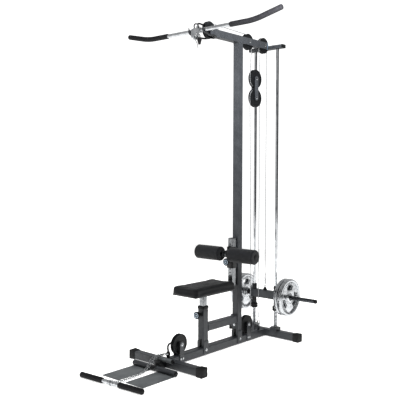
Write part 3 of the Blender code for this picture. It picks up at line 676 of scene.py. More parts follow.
def joinObjects(name, objects):
    # several plain mesh objects made into one, each keeping its own finish
    bm = bmesh.new()
    finishes = []
    for obj in objects:
        start = len(bm.faces)
        bm.from_mesh(obj.data)
        bm.faces.ensure_lookup_table()
        table = []
        for found in obj.data.materials:
            if found not in finishes:
                finishes.append(found)
            table.append(finishes.index(found))
        for face in bm.faces[start:]:
            face.material_index = table[face.material_index] if table else 0
        bpy.data.objects.remove(obj)
    mesh = meshFrom(name, bm)
    for finish in finishes:
        mesh.materials.append(finish)
    made = newObject(name, mesh)
    return made


turnX = (0.0, math.pi / 2, 0.0)
turnY = (math.pi / 2, 0.0, 0.0)
turnZ = (0.0, 0.0, 0.0)


def bolts(name, body, spots, turn, head=0.0062, height=0.010, washer=0.0095, finish="brightZinc"):
    made = grow(trees["bolts"], pointsObject(spots), name, HeadRadius=head, HeadHeight=height,
        WasherRadius=washer, WasherHeight=height * 0.42, Turn=turn, Finish=paintOf(finish))
    return settle(made, body) if body else made


makeCamera()
makeLamps()
makeWorld()
makeMaterials()
trees = {"coil": coilTree(), "chain": chainTree(), "bolts": boltTree(), "bead": beadTree(),
    "perforations": perforationTree()}
print("studio, finishes and trees ready")

# frame tubes
frameTubes = {
    # piece name: CAD node
    "frontFoot": "front_foot", "rearFoot": "rear_foot", "baseBeam": "base_beam",
    "mainUpright": "upright", "topBoom": "top_boom", "topCrossmember": "top_crossmember",
    "seatPost": "seat_post", "seatBrace": "seat_brace",
}
tubeHalf = min((uprightBox[1].x - uprightBox[0].x) / 2, 0.025)


def makeFrame():
    for name, node in frameTubes.items():
        piece(name, "frame", [(nodeShape(node), "anthracitePowderCoat")], [node],
            angle=32, weighted=True)


plugs = {"proud": 0.0025, "edge": 0.0012}


def endPlug(low, high):
    return roundBox(low, high, plugs["edge"], 3)


def makePlugs():
    boomLow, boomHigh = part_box("top_boom")
    crossLow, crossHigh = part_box("top_crossmember")
    shapes = []
    for side in (-1, 1):
        face = side * crossHigh.x
        put(shapes, "mouldedNylon", endPlug((face - side * 0.004, crossLow.y - 0.0006,
            crossLow.z - 0.0006), (face + side * plugs["proud"], crossHigh.y + 0.0006,
            crossHigh.z + 0.0006)))
    piece("crossmemberPlugs", "frame", shapes)
    sides = []
    for side in (-1, 1):
        inner, outer = 0.0150, tubeHalf + 0.0006
        sides.append((endPlug((side * inner, boomHigh.y - 0.006, boomLow.z - 0.0006),
            (side * outer, boomHigh.y - 0.0005, boomHigh.z + 0.0006)), "blueGreyCap"))
    piece("boomRearPlugs", "frame", sides)


weld = {"size": 0.0026, "spacing": 0.0026, "beamZ": 0.1005, "braceZ": 0.187}


def makeWelds():
    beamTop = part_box("base_beam")[0].z + 2 * tubeHalf
    braceLow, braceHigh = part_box("seat_brace")
    runs = []
    for y in (middleOf("seat_post").y, uprightY):
        for side in (-1, 1):
            x = side * (tubeHalf + 0.001)
            runs.append([(x, y + end * (tubeHalf - 0.004), weld["beamZ"]) for end in (-1, 1)])
    for y in (braceLow.y + 0.001, braceHigh.y - 0.0058):
        low, high = weld["braceZ"] - tubeHalf, weld["braceZ"] + tubeHalf
        runs.append([(-tubeHalf, y, high), (tubeHalf, y, high)])
        runs.append([(tubeHalf, y, high - 0.003), (tubeHalf, y, low + 0.003)])
        runs.append([(-tubeHalf, y, low + 0.003), (-tubeHalf, y, high - 0.003)])
    beamLow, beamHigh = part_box("base_beam")
    for y in (beamLow.y + 0.0005, beamHigh.y - 0.0005):
        runs.append([(-tubeHalf, y, beamTop), (tubeHalf, y, beamTop)])
        for side in (-1, 1):
            runs.append([(side * tubeHalf, y, beamTop),
                (side * tubeHalf, y, beamTop - 2 * tubeHalf)])
    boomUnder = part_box("top_boom")[0].z
    for y in (uprightY - tubeHalf, uprightY + tubeHalf):
        runs.append([(-tubeHalf + 0.003, y, boomUnder), (tubeHalf - 0.003, y, boomUnder)])
    for side in (-1, 1):
        runs.append([(side * tubeHalf, uprightY - tubeHalf + 0.003, boomUnder),
            (side * tubeHalf, uprightY + tubeHalf - 0.003, boomUnder)])
    paint = paintOf("anthracitePowderCoat")
    made = [grow(trees["bead"], routeObject(run), "run", Spacing=weld["spacing"], Size=weld["size"],
        Finish=paint) for run in runs]
    settle(joinObjects("weldBeads", made), "frame")


def makeFrameBolts():
    seatY = middleOf("seat_post").y
    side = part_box("upright")[1].x
    spots = [(s * side, y, 0.042) for s in (-1, 1) for y in (seatY, uprightY)]
    made = [bolts("sideBolts", None, spots, turnX)]
    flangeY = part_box("seat_brace")[1].y - 0.005
    made.append(bolts("flangeBolts", None, [(0, flangeY, 0.145)], turnY))
    footY = middleOf("rear_foot").y - 0.009
    rods = middleOf("guide_rod_right").x
    made.append(bolts("socketBolts", None, [(s * (rods - 0.020), footY, 0.078) for s in (-1, 1)],
        turnZ))
    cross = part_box("top_crossmember")
    made.append(bolts("crossBolts", None, [(s * 0.055, (cross[0].y + cross[1].y) / 2, cross[1].z)
        for s in (-1, 1)], turnZ))
    settle(joinObjects("frameBolts", made), "frame")


feet = {"edge": 0.0065, "rim": 0.0016}


def makeFeet():
    for node in ("foot_cap_front_left", "foot_cap_front_right", "foot_cap_rear_left",
            "foot_cap_rear_right"):
        low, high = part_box(node)
        side = 1 if high.x > 0 else -1
        inner = low.x if side > 0 else high.x
        outer = high.x if side > 0 else low.x
        # the cap tapers a little behind its thicker outer end
        neck = outer - side * 0.016
        body = roundBox((inner, low.y + feet["rim"], low.z + feet["rim"]),
            (neck + side * 0.004, high.y - feet["rim"], high.z - feet["rim"]), 0.004, 3)
        end = roundBox((neck, low.y, low.z), (outer, high.y, high.z), feet["edge"], 4)
        word = node.replace("foot_cap_", "").title().replace("_", "")
        piece("footCap" + word, "frame",
            [(body, "mouldedRubber"), (end, "mouldedRubber")], [node])


# pulleys, their bolts and straps
wheel = {"half": 0.012, "bush": 0.0062, "rimWidth": 0.0085, "recess": 0.0022}
smallWheel = {"edge": 0.057, "groove": 0.0505}
largeWheel = {"edge": 0.0665, "groove": 0.060}
ropeRadius = 0.0025


def wheelShapes(middle, size):
    w, outer = wheel["half"], size["edge"]
    seat = size["groove"] - ropeRadius - 0.0003
    face = [(wheel["bush"], w), (0.0145, w), (0.0165, w - wheel["recess"]),
        (outer - wheel["rimWidth"] - 0.003, w - wheel["recess"]),
        (outer - wheel["rimWidth"], w - 0.0004), (outer - wheel["rimWidth"] + 0.0012, w)]
    rim = [(outer - 0.0030, w), (outer - 0.0012, w - 0.0006), (outer - 0.0002, w - 0.0016),
        (outer, w - 0.0026), (outer - 0.0010, w - 0.0036)]
    groove = [(seat + 0.0040, 0.0052), (seat + 0.0014, 0.0034), (seat + 0.0003, 0.0018)]
    half = face + rim + groove
    profile = half + [(seat, 0.0)] + [(r, -a) for r, a in half[::-1]]
    bearing = [(wheel["bush"], w + 0.0007), (0.0105, w + 0.0007), (0.0112, w + 0.0002),
        (0.0112, -w - 0.0002), (0.0105, -w - 0.0007), (wheel["bush"], -w - 0.0007)]
    return [(lathe(profile, middle, "X", 72, ring=True), "mouldedNylon"),
        (lathe(bearing, middle, "X", 32, ring=True), "brightZinc")]


def boltThrough(middle, outside, head=0.0088, shank=0.0058, proud=0.006):
    # a domed head on the right, a nut with its thread end on the left, washers under both
    y, z = middle.y, middle.z
    shapes = [(roundedRod(shank, 2 * outside, (0, y, z), "X", 20), "brightZinc")]
    dome = [(0, proud), (head * 0.45, proud - 0.0004), (head * 0.8, proud - 0.0018),
        (head, proud - 0.0042), (head, 0.0012), (0, 0.0012)]
    washer = [(0, 0), (head + 0.0024, 0), (head + 0.0024, 0.0014), (0, 0.0014)]
    for side in (-1, 1):
        place = [(r, side * (outside + a)) for r, a in washer]
        put(shapes, "brightZinc", lathe(place, (0, y, z), "X", 28))
    put(shapes, "brightZinc", lathe([(r, outside + a) for r, a in dome], (0, y, z), "X", 28),
        lathe([(r, -outside - a) for r, a in dome], (0, y, z), "X", 6))
    return shapes


def makePulleys():
    for name, node, body, size in (
            ("frontWheel", "top_front_pulley", "front_wheel", smallWheel),
            ("middleWheel", "top_middle_pulley", "middle_wheel", smallWheel),
            ("rearWheel", "top_rear_pulley", "rear_wheel", smallWheel),
            ("lowFrontWheel", "low_front_pulley", "low_front_wheel", largeWheel),
            ("lowRearWheel", "low_rear_pulley", "low_rear_wheel", largeWheel),
            ("blockUpperWheel", "block_upper_pulley", "block_upper", largeWheel),
            ("blockLowerWheel", "block_lower_pulley", "block_lower", largeWheel)):
        piece(name, body, wheelShapes(middleOf(node), size), [node], angle=30)
    for name, node in (("middleWheelBolt", "top_middle_axle"), ("rearWheelBolt", "top_rear_axle")):
        piece(name, "frame", boltThrough(middleOf(node), tubeHalf), [node])


strap = {"half": 0.020, "thick": 0.004, "edge": 0.0008}


def strapShape(y, zTop, zBottom, x, roundBottom=False):
    top = circle(y, zTop, strap["half"], 0, math.pi, 25)
    if roundBottom:
        bottom = circle(y, zBottom, strap["half"], math.pi, 2 * math.pi, 25)
    else:
        bottom = [(y - strap["half"], zBottom), (y + strap["half"], zBottom)]
    return pierced([top + bottom], x, strap["thick"], strap["edge"])


def makeStraps():
    for name, node, wheelNode in (("lowFrontStraps", "low_front_bracket", "low_front_pulley"),
            ("lowRearStraps", "low_rear_bracket", "low_rear_pulley")):
        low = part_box(node)[0]
        hub = middleOf(wheelNode)
        x = tubeHalf + 0.0003 + strap["thick"] / 2
        shapes = [(strapShape(hub.y, hub.z, low.z, side * x), "anthracitePowderCoat")
            for side in (-1, 1)]
        shapes += boltThrough(hub, x + strap["thick"] / 2)
        # spacer tubes keep the wheel in the middle between the straps
        for side in (-1, 1):
            span = x - strap["thick"] / 2 - wheel["half"] - 0.001
            put(shapes, "mouldedNylon", roundedRod(0.0095, span,
                (side * (wheel["half"] + 0.001 + span / 2), hub.y, hub.z), "X", 24))
        piece(name, "frame", shapes, [node])
    spots = [(s * (tubeHalf + 0.0043), middleOf(f"low_{word}_pulley").y + d, 0.034)
        for word in ("front", "rear") for s in (-1, 1) for d in (-0.010, 0.010)]
    bolts("strapBolts", "frame", spots, turnX, head=0.0045, height=0.006, washer=0.0065)


def makeBlock():
    upper, lower = middleOf("block_upper_pulley"), middleOf("block_lower_pulley")
    x = wheel["half"] + 0.0035
    shapes = [(strapShape(upper.y, upper.z, lower.z, side * x, True), "anthracitePowderCoat")
        for side in (-1, 1)]
    for hub in (upper, lower):
        shapes += boltThrough(hub, x + strap["thick"] / 2, head=0.0095, proud=0.007)
    piece("blockStraps", "block", shapes, ["block_cheeks"])


# front bracket with the two rest hooks
hooks = {"x": 0.060, "sheet": 0.004, "barY": -0.430, "barZ": 2.157, "cradle": 0.0188}


def makeHooks():
    hub = middleOf("top_front_pulley")
    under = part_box("top_boom")[0].z - 0.0003
    inner, sheet = tubeHalf + 0.0003, hooks["sheet"]
    front, back = hub.y - 0.015, hub.y + 0.082
    shapes = []
    for side in (-1, 1):
        outline = [(front, under - sheet), (back, under - sheet), (back, hub.z - 0.004),
            (back - 0.014, hub.z + 0.012), (hub.y + 0.016, hub.z + 0.014), (front, hub.z + 0.014)]
        put(shapes, "anthracitePowderCoat", pierced([outline], side * (inner + sheet / 2), sheet,
            0.0008))
    put(shapes, "anthracitePowderCoat", roundBox((-inner, hub.y + 0.063, under - sheet),
        (inner, back, under), 0.0006))
    for side in (-1, 1):
        put(shapes, "anthracitePowderCoat", roundBox((side * inner, front, under - sheet),
            (side * 0.0148, back, under), 0.0006))
    shapes += boltThrough(hub, inner + sheet, head=0.0092)
    z0 = under - sheet - 0.004
    barY, barZ, cradle = hooks["barY"], hooks["barZ"], hooks["cradle"]
    for side in (-1, 1):
        x = side * hooks["x"]
        route = [at(side * 0.020, -0.295, z0), at(side * 0.040, -0.300, z0),
            at(side * 0.054, -0.312, z0), at(x, -0.335, z0), at(x, -0.385, z0 - 0.002)]
        angles = np.radians(np.linspace(-60, -185, 9))
        route += [at(x, barY + cradle * math.cos(a), barZ + cradle * math.sin(a)) for a in angles]
        route += [at(x, barY - cradle - 0.001, barZ + 0.010),
            at(x, barY - cradle - 0.004, barZ + 0.021)]
        smooth = smoothRoute(route, 5)
        share = np.linspace(0, 1, len(smooth))
        radii = [0.0060 - 0.0038 * max(0.0, (s - 0.80) / 0.20) ** 1.5 for s in share]
        put(shapes, "blackPowderCoat", sweep(smooth, radii, 14))
    piece("barRest", "frame", shapes, ["bar_hooks"])


# guide rods, springs, carriage and plates
def makeGuides():
    for word in ("left", "right"):
        low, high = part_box(f"guide_rod_{word}")
        middle = (low + high) / 2
        radius = (high.x - low.x) / 2
        piece(f"guideRod{word.title()}", "frame",
            [(roundedRod(radius, high.z - low.z, middle, "Z", 48), "brightChrome")],
            [f"guide_rod_{word}"])
        low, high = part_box(f"spring_{word}")
        wire = 0.0019
        base = pointsObject([(0, 0, 0)])
        made = grow(trees["coil"], base, f"spring{word.title()}", Turns=11.0,
            Radius=(high.x - low.x) / 2 - wire, Height=high.z - low.z - 2 * wire, Wire=wire,
            Finish=paintOf("brightChrome"))
        made.data.transform(Matrix.Translation((middle.x, middle.y, low.z + wire)))
        settle(made, "frame", [f"spring_{word}"])
        low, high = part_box(f"bumper_{word}")
        radius, bore, tall = (high.x - low.x) / 2, 0.0113, high.z - low.z
        middle = (low + high) / 2
        edge = 0.010
        ring = [(bore, tall / 2), *circle(radius - edge, tall / 2 - edge, edge, math.pi / 2, 0, 8),
            (radius - 0.0012, 0.0), *circle(radius - edge, edge - tall / 2, edge, 0, -math.pi / 2,
            8), (bore, -tall / 2)]
        piece(f"bumper{word.title()}", "carriage",
            [(lathe(ring, middle, "Z", 48, ring=True), "mouldedRubber")], [f"bumper_{word}"])


carriage = {"y": 0.344, "beamZ": 0.313, "beamHalf": 0.125, "beamTall": 0.058, "depth": 0.024,
    "sleeve": 0.0178, "sleeveLow": 0.2363, "sleeveHigh": 0.383, "post": 0.0145, "postEnd": 0.447,
    "collarX": 0.157}


def makeCarriage():
    c = carriage
    rodX = middleOf("guide_rod_right").x
    y = c["y"]
    low = at(-c["beamHalf"], y - c["depth"], c["beamZ"] - c["beamTall"] / 2)
    high = at(c["beamHalf"], y + c["depth"], c["beamZ"] + c["beamTall"] / 2)
    shapes = [(roundBox(low, high, 0.0035, 4), "anthracitePowderCoat")]
    for side in (-1, 1):
        x = side * rodX
        tall = (c["sleeveHigh"] - c["sleeveLow"]) / 2
        bore, r = 0.0113, c["sleeve"]
        sleeve = [(bore, tall), (r - 0.003, tall), (r - 0.001, tall - 0.001), (r, tall - 0.003),
            (r, tall - 0.020), (r - 0.0010, tall - 0.021), (r - 0.0010, -tall + 0.021),
            (r, -tall + 0.020), (r, -tall + 0.002), (r - 0.002, -tall), (bore, -tall)]
        middle = at(x, y, (c["sleeveHigh"] + c["sleeveLow"]) / 2)
        put(shapes, "blackPowderCoat", lathe(sleeve, middle, "Z", 48, ring=True))
        start, end = c["beamHalf"] - 0.004, c["postEnd"]
        cap = 0.016
        middle = at(side * (start + end - cap) / 2, y, c["beamZ"])
        put(shapes, "phosphatedSteel", roundedRod(c["post"], end - cap - start, middle, "X", 40))
        middle = at(side * (end - cap / 2), y, c["beamZ"])
        put(shapes, "mouldedNylon", roundedRod(c["post"] + 0.0002, cap, middle, "X", 40, 0.003))
        collar = at(side * c["collarX"], y, c["beamZ"])
        put(shapes, "brightChrome", roundedRod(0.026, 0.012, collar, "X", 48, 0.002))
        tail = at(side * (c["collarX"] - 0.016), y, c["beamZ"])
        put(shapes, "blackPowderCoat", roundedRod(0.0205, 0.022, tail, "X", 40, 0.002))
    bell = [(0, 0.366), (0.0052, 0.366), (0.0075, 0.3645), (0.0092, 0.360), (0.0130, 0.353),
        (0.0155, 0.347), (0.0160, 0.340), (0, 0.340)]
    put(shapes, "mouldedNylon", lathe(bell, at(0, y, 0), "Z", 40))
    loop = arcRoute(y, 0.371, 0.0085, -60, 240, 25)
    put(shapes, "brightZinc", sweep(loop, 0.0024, 10))
    piece("carriageBeam", "carriage", shapes, ["weight_carriage"])


weightPlate = {"radius": 0.137, "thick": 0.030, "hub": 0.034, "bore": 0.0151, "web": 0.014,
    "openInner": 0.0565, "openOuter": 0.0945, "openHalf": 27}


def plateOpening(turn):
    p = weightPlate
    y, z = carriage["y"] + uprightY, carriage["beamZ"]
    half = math.radians(p["openHalf"])
    out = []
    out += circle(y, z, p["openOuter"], turn - half, turn + half, 16)
    out += circle(y, z, p["openInner"], turn + half, turn - half, 12)
    return roundedCorners(out, 0.007)


def roundedCorners(points, radius):
    # cuts each sharp corner of a closed outline with a short curve
    made = []
    count = len(points)
    for i in range(count):
        a, b, c = (Vector(points[(i + k - 1) % count]) for k in range(3))
        before, after = (a - b), (c - b)
        turn = before.angle(after, math.pi)
        if turn > math.radians(140):
            made.append(tuple(b))
            continue
        near, far = b + before.normalized() * radius, b + after.normalized() * radius
        for t in np.linspace(0, 1, 6):
            made.append(tuple(near * (1 - t) ** 2 + b * 2 * t * (1 - t) + far * t * t))
    return tidyRing(made, radius * 0.12)


def tidyRing(points, least):
    out = [points[0]]
    for p in points[1:]:
        if (Vector(p) - Vector(out[-1])).length > least:
            out.append(p)
    return out


def makePlates():
    p = weightPlate
    y, z = carriage["y"] + uprightY, carriage["beamZ"]
    for word in ("left", "right"):
        for place in ("inner", "outer"):
            node = f"weight_plate_{word}_{place}"
            middle = middleOf(node)
            t, r = p["thick"] / 2, p["radius"]
            rim = [(r - 0.024, p["web"] / 2 - 0.001), (r - 0.021, t - 0.003),
                (r - 0.019, t - 0.0008), (r - 0.017, t), (r - 0.009, t), (r - 0.006, t - 0.0006),
                (r - 0.002, t - 0.003), (r - 0.0004, t - 0.006), (r, t - 0.009)]
            hub = [(p["bore"], t), (p["hub"] - 0.010, t), (p["hub"] - 0.008, t - 0.0015),
                (p["hub"] - 0.004, t - 0.002), (p["hub"] - 0.001, t - 0.004),
                (p["hub"] + 0.002, p["web"] / 2 - 0.001)]
            ring, hole = wholeCircle(y, z, 0.1145, 96), wholeCircle(y, z, 0.030, 32)
            openings = [plateOpening(math.radians(90 + 120 * i)) for i in range(3)]
            web = pierced([ring, hole] + openings, middle.x, p["web"], 0.0022)
            shapes = [(lathe(bothWays(rim), middle, "X", 128, ring=True), "castChrome"),
                (lathe(bothWays(hub), middle, "X", 64, ring=True), "castChrome"),
                (web, "castChrome")]
            for side in (-1, 1):  # a raised bead inside the rim and round the hub
                for radius in (0.105, 0.047):
                    bead = wholeCircle(radius, side * (p["web"] / 2 - 0.0004), 0.0022, 8)
                    put(shapes, "castChrome", lathe(bead, middle, "X", 96, ring=True))
            bush = [(p["bore"], t + 0.0007), (0.0215, t + 0.0007), (0.0225, t - 0.0005),
                (0.0225, -t + 0.0005), (0.0215, -t - 0.0007), (p["bore"], -t - 0.0007)]
            put(shapes, "phosphatedSteel", lathe(bush, middle, "X", 48, ring=True))
            piece(f"weightPlate{word.title()}{place.title()}", f"plate_{word}_{place}",
                shapes, [node], angle=34)


# seat
seat = {"postHalf": 0.019, "plateX": 0.070, "plateZ": 0.418, "plateThick": 0.006, "boltX": 0.055,
    "boltY": 0.115, "boardThick": 0.009, "boardInset": 0.008, "corner": 0.026, "topEdge": 0.009,
    "bottomEdge": 0.005, "voxel": 0.005, "pressure": 4.0, "most": 0.0045, "shrink": 0.0032}


def makeSeatFrame():
    low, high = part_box("seat_carrier")
    y = middleOf("seat_post").y
    h = seat["postHalf"]
    post = roundBox((-h, y - h, low.z), (h, y + h, seat["plateZ"] + 0.001), 0.003, 4)
    plate = roundBox((-seat["plateX"], low.y, seat["plateZ"]),
        (seat["plateX"], high.y, seat["plateZ"] + seat["plateThick"]), 0.0012, 2)
    shapes = [(post, "satinChrome"), (plate, "blackPowderCoat")]
    piece("seatPillar", "seat", shapes, ["seat_carrier"])
    spots = [(sx * seat["boltX"], y + sy * seat["boltY"], seat["plateZ"]) for sx in (-1, 1)
        for sy in (-1, 1)]
    bolts("seatBolts", "seat", [s for s in spots if low.y < s[1] < high.y] or spots, turnZ,
        head=0.0055, height=0.007, washer=0.009)


def bevelEdges(bm, edges, offset, segments):
    bmesh.ops.bevel(bm, geom=edges, offset=offset, segments=segments, profile=0.5, affect="EDGES")


def makeSeatPad():
    low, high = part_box("seat_pad")
    inset = seat["boardInset"]
    board = roundBox((low.x + inset, low.y + inset, low.z),
        (high.x - inset, high.y - inset, low.z + seat["boardThick"]), 0.002, 2)
    piece("seatBoard", "seat", [(board, "blackPowderCoat")])
    s = seat["shrink"]
    low, high = low + Vector((s, s, 0.0035)), high - Vector((s, s, s))
    bm = cube(low, high)
    upright = [e for e in bm.edges if abs(e.verts[0].co.z - e.verts[1].co.z) > 0.01]
    bevelEdges(bm, upright, seat["corner"], 6)
    bevelEdges(bm, [e for e in bm.edges if min(v.co.z for v in e.verts) > high.z - 1e-4],
        seat["topEdge"], 4)
    bevelEdges(bm, [e for e in bm.edges if max(v.co.z for v in e.verts) < low.z + 1e-4],
        seat["bottomEdge"], 2)
    pad = newObject("seatCushion", meshFrom("seatCushion", bm))
    remesh = pad.modifiers.new("remesh", "REMESH")
    remesh.mode = "VOXEL"
    remesh.voxel_size = seat["voxel"]
    remesh.use_smooth_shade = True
    bakeModifiers(pad)
    inflate(pad, seat["pressure"], seat["most"], low.z + 0.004)
    softenMesh(pad, 3)
    finer = pad.modifiers.new("finer", "SUBSURF")
    finer.levels = finer.render_levels = 1
    bakeModifiers(pad)
    pad.data.shade_smooth()
    pad.data.materials.append(paintOf("upholsteryVinyl"))
    settle(pad, "seat", ["seat_pad"])


def bakeModifiers(obj):
    graph = bpy.context.evaluated_depsgraph_get()
    mesh = bpy.data.meshes.new_from_object(obj.evaluated_get(graph))
    obj.modifiers.clear()
    obj.data = mesh


def meshPoints(obj):
    co = np.empty(len(obj.data.vertices) * 3, np.float32)
    obj.data.vertices.foreach_get("co", co)
    return co.reshape(-1, 3).astype(float)


def setPoints(obj, points):
    obj.data.vertices.foreach_set("co", points.astype(np.float32).ravel())
    obj.data.update()


def softenMesh(obj, times):
    bm = bmesh.new()
    bm.from_mesh(obj.data)
    for _ in range(times):
        bmesh.ops.smooth_vert(bm, verts=bm.verts, factor=0.5, use_axis_x=True, use_axis_y=True,
            use_axis_z=True)
    bm.to_mesh(obj.data)
    bm.free()


def inflate(obj, pressure, most, floorZ):
    # swells the padding under its cover, then keeps every point within reach of where it began
    start = meshPoints(obj)
    group = obj.vertex_groups.new(name="board")
    group.add([int(i) for i in np.nonzero(start[:, 2] < floorZ)[0]], 1.0, "REPLACE")
    cloth = obj.modifiers.new("cover", "CLOTH")
    cloth.settings.use_pressure = True
    cloth.settings.uniform_pressure_force = pressure
    cloth.settings.quality = 6
    cloth.settings.vertex_group_mass = "board"
    cloth.settings.effector_weights.gravity = 0.0
    for number in range(1, 21):
        scene.frame_set(number)
    graph = bpy.context.evaluated_depsgraph_get()
    swollen = bpy.data.meshes.new_from_object(obj.evaluated_get(graph))
    obj.modifiers.clear()
    obj.data = swollen
    moved = meshPoints(obj) - start
    length = np.linalg.norm(moved, axis=1, keepdims=True)
    moved *= np.minimum(1.0, most / np.maximum(length, 1e-9))
    setPoints(obj, start + moved)
    scene.frame_set(1)
    obj.vertex_groups.clear()


def fourWalls(y, inner, outer, bottom, top, edge, segments):
    # a square tube round a post, made of four plates
    walls = []
    for side in (-1, 1):
        walls.append(roundBox((side * inner, y - outer, bottom), (side * outer, y + outer, top),
            edge, segments))
        walls.append(roundBox((-outer, y + side * inner, bottom), (outer, y + side * outer, top),
            edge, segments))
    return walls


pull = {"flutes": 8, "depth": 0.0016}


def makeKnob(name, node, body):
    low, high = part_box(node)
    middle = (low + high) / 2
    x, front, z = middle.x, low.y, middle.z
    steps = 84
    r = (high.x - low.x) / 2
    rings = [(0.0120, 0.0024), (r - 0.0068, 0.0024), (r - 0.0060, 0.0), (r - 0.0028, 0.0006),
        (r - 0.0008, 0.0026), (r, 0.0060), (r - 0.0004, 0.0115), (r - 0.0030, 0.0150),
        (r - 0.0090, 0.0185), (0.0105, 0.0220), (0.0085, 0.0245), (0.0080, 0.0300)]
    points, faces = [], []
    for radius, along in rings:
        for i in range(steps):
            a = 2 * math.pi * i / steps
            flute = pull["depth"] * (0.5 - 0.5 * math.cos(pull["flutes"] * a))
            at_r = radius - flute * min(1.0, max(0.0, (radius - 0.016) / 0.006))
            points.append(Vector((x + at_r * math.cos(a), front + along, z + at_r * math.sin(a))))
    for row in range(len(rings) - 1):
        for i in range(steps):
            j = (i + 1) % steps
            faces.append([row * steps + i, row * steps + j, (row + 1) * steps + j,
                (row + 1) * steps + i])
    faces.append(list(range(steps)))
    faces.append([(len(rings) - 1) * steps + i for i in range(steps)])
    shapes = [((points, faces), "mouldedNylon")]
    ring = [(0.0126, 0.0014), (0.0126, -0.0006), (0.0142, -0.0016), (0.0178, -0.0014),
        (0.0190, 0.0014)]
    put(shapes, "paleBlueInlay", lathe(ring, (x, front + 0.0018, z), "Y", 56, ring=True),
        roundedRod(0.0060, 0.0034, (x, front + 0.0018, z), "Y", 40, 0.0010))
    reach = high.y - 0.0005 - (front + 0.028)
    put(shapes, "brightZinc", roundedRod(0.0040, reach, (x, front + 0.028 + reach / 2, z), "Y", 24))
    piece(name, body, shapes, [node])
    return x, z


def makeKnobs():
    seatFace = middleOf("seat_post").y - tubeHalf
    x, z = makeKnob("seatPullKnob", "seat_knob", "seat_knob")
    boss = [(0.0046, 0), (0.0105, 0), (0.0110, -0.001), (0.0110, -0.0125), (0.0100, -0.0135),
        (0.0046, -0.0135)]
    collar = middleOf("seat_post")
    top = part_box("seat_post")[1].z
    shapes = [(lathe(boss, (x, seatFace, z), "Y", 32, ring=True), "blackPowderCoat")]
    # the nylon bush that the inner post runs in shows as a thin collar
    put(shapes, "mouldedNylon", *fourWalls(collar.y, 0.0193, 0.0262, top - 0.018, top + 0.003,
        0.0012, 2))
    piece("seatPostCollar", "frame", shapes)
    rollerFace = middleOf("roller_post").y - 0.025
    x, z = makeKnob("rollerPullKnob", "roller_knob", "roller_knob")
    piece("rollerPinBoss", "roller_holder",
        [(lathe(boss, (x, rollerFace, z), "Y", 32, ring=True), "blackPowderCoat")])


# thigh rollers
rollers = {"postHalf": 0.020, "pitch": 0.025, "hole": 0.0050, "armY": -0.130, "armZ": 0.661,
    "armX": 0.0145, "armThick": 0.005, "sleeveHalf": 0.025, "fit": 0.0004, "rod": 0.0124,
    "washerX": 0.0385, "capRadius": 0.0180, "foamEdge": 0.010, "foamBore": 0.0127, "belly": 0.0009}


def makeRollerPost():
    low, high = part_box("roller_post")
    h = rollers["postHalf"]
    y = low.y + h
    tube = fillMesh("tube", [(roundBox((-h, y - h, low.z), (h, y + h, high.z), 0.003, 4),
        "brightChrome")])
    base = newObject("tube", tube)
    count = int((high.z - low.z - 0.03) / rollers["pitch"])
    made = grow(trees["perforations"], base, "rollerPost", Count=count,
        First=(0.0, y, low.z + 0.022), Step=(0.0, 0.0, rollers["pitch"]),
        HoleRadius=rollers["hole"], Finish=paintOf("satinChrome"))
    made.data.shade_smooth()
    made.data.set_sharp_from_angle(angle=math.radians(38))
    made.modifiers.new("normals", "WEIGHTED_NORMAL").keep_sharp = True
    settle(made, "frame", ["roller_post"])
    shapes = []
    for z in (low.z + 0.006, high.z - 0.006):
        put(shapes, "blackPowderCoat", roundBox((-0.015, y + h - 0.002, z - 0.0055),
            (0.015, uprightY - tubeHalf - 0.0003, z + 0.0055), 0.001, 2))
    put(shapes, "mouldedNylon", roundBox((-h + 0.002, y - h + 0.002, high.z - 0.004),
        (h - 0.002, y + h - 0.002, high.z + 0.0015), 0.0012, 2))
    piece("rollerPostSpacers", "frame", shapes)


def makeRollers():
    low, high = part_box("roller_carrier")
    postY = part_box("roller_post")[0].y + rollers["postHalf"]
    s, fit = rollers["sleeveHalf"], rollers["postHalf"] + rollers["fit"]
    shapes = []
    put(shapes, "blackPowderCoat", *fourWalls(postY, fit, s, low.z, high.z, 0.0015, 3))
    axis = at(0, rollers["armY"], rollers["armZ"])
    outline = [(axis.y - 0.014, axis.z + 0.019), (axis.y - 0.019, axis.z + 0.012),
        (axis.y - 0.019, axis.z - 0.012), (axis.y - 0.014, axis.z - 0.019),
        (postY - s + 0.002, axis.z - 0.026), (postY - s + 0.002, axis.z + 0.026)]
    for side in (-1, 1):
        put(shapes, "blackPowderCoat", pierced([outline], side * rollers["armX"],
            rollers["armThick"], 0.0008))
    reach = (high.x - low.x) / 2
    put(shapes, "phosphatedSteel", roundedRod(rollers["rod"], 2 * reach - 0.002, axis, "X", 32))
    for side in (-1, 1):
        end = side * (reach - 0.0024)
        inner = side * rollers["washerX"]
        put(shapes, "mouldedNylon",
            roundedRod(rollers["capRadius"], 0.0044, (end, axis.y, axis.z), "X", 40, 0.0018),
            roundedRod(0.0190, 0.0022, (inner, axis.y, axis.z), "X", 40, 0.0008))
    piece("rollerSleeve", "roller_holder", shapes, ["roller_carrier"])
    for word in ("left", "right"):
        node = f"foam_roller_{word}"
        low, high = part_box(node)
        middle, length = (low + high) / 2, high.x - low.x
        radius = (high.z - low.z) / 2
        h, e, bore = length / 2, rollers["foamEdge"], rollers["foamBore"]
        profile = [(bore, h - 0.001), (0.0200, h)]
        profile += circle(radius - e, h - e, e, math.pi / 2, 0, 8)
        for t in np.linspace(0.9, -0.9, 19):  # the foam bellies out a little between its ends
            profile.append((radius - rollers["belly"] * abs(t) ** 3, (h - e) * t))
        profile += circle(radius - e, e - h, e, 0, -math.pi / 2, 8)
        profile += [(0.0200, -h), (bore, -h + 0.001)]
        roller = piece(f"foamRoller{word.title()}", f"roller_{word}",
            [(lathe(profile, middle, "X", 96, ring=True), "closedCellFoam")], [node])


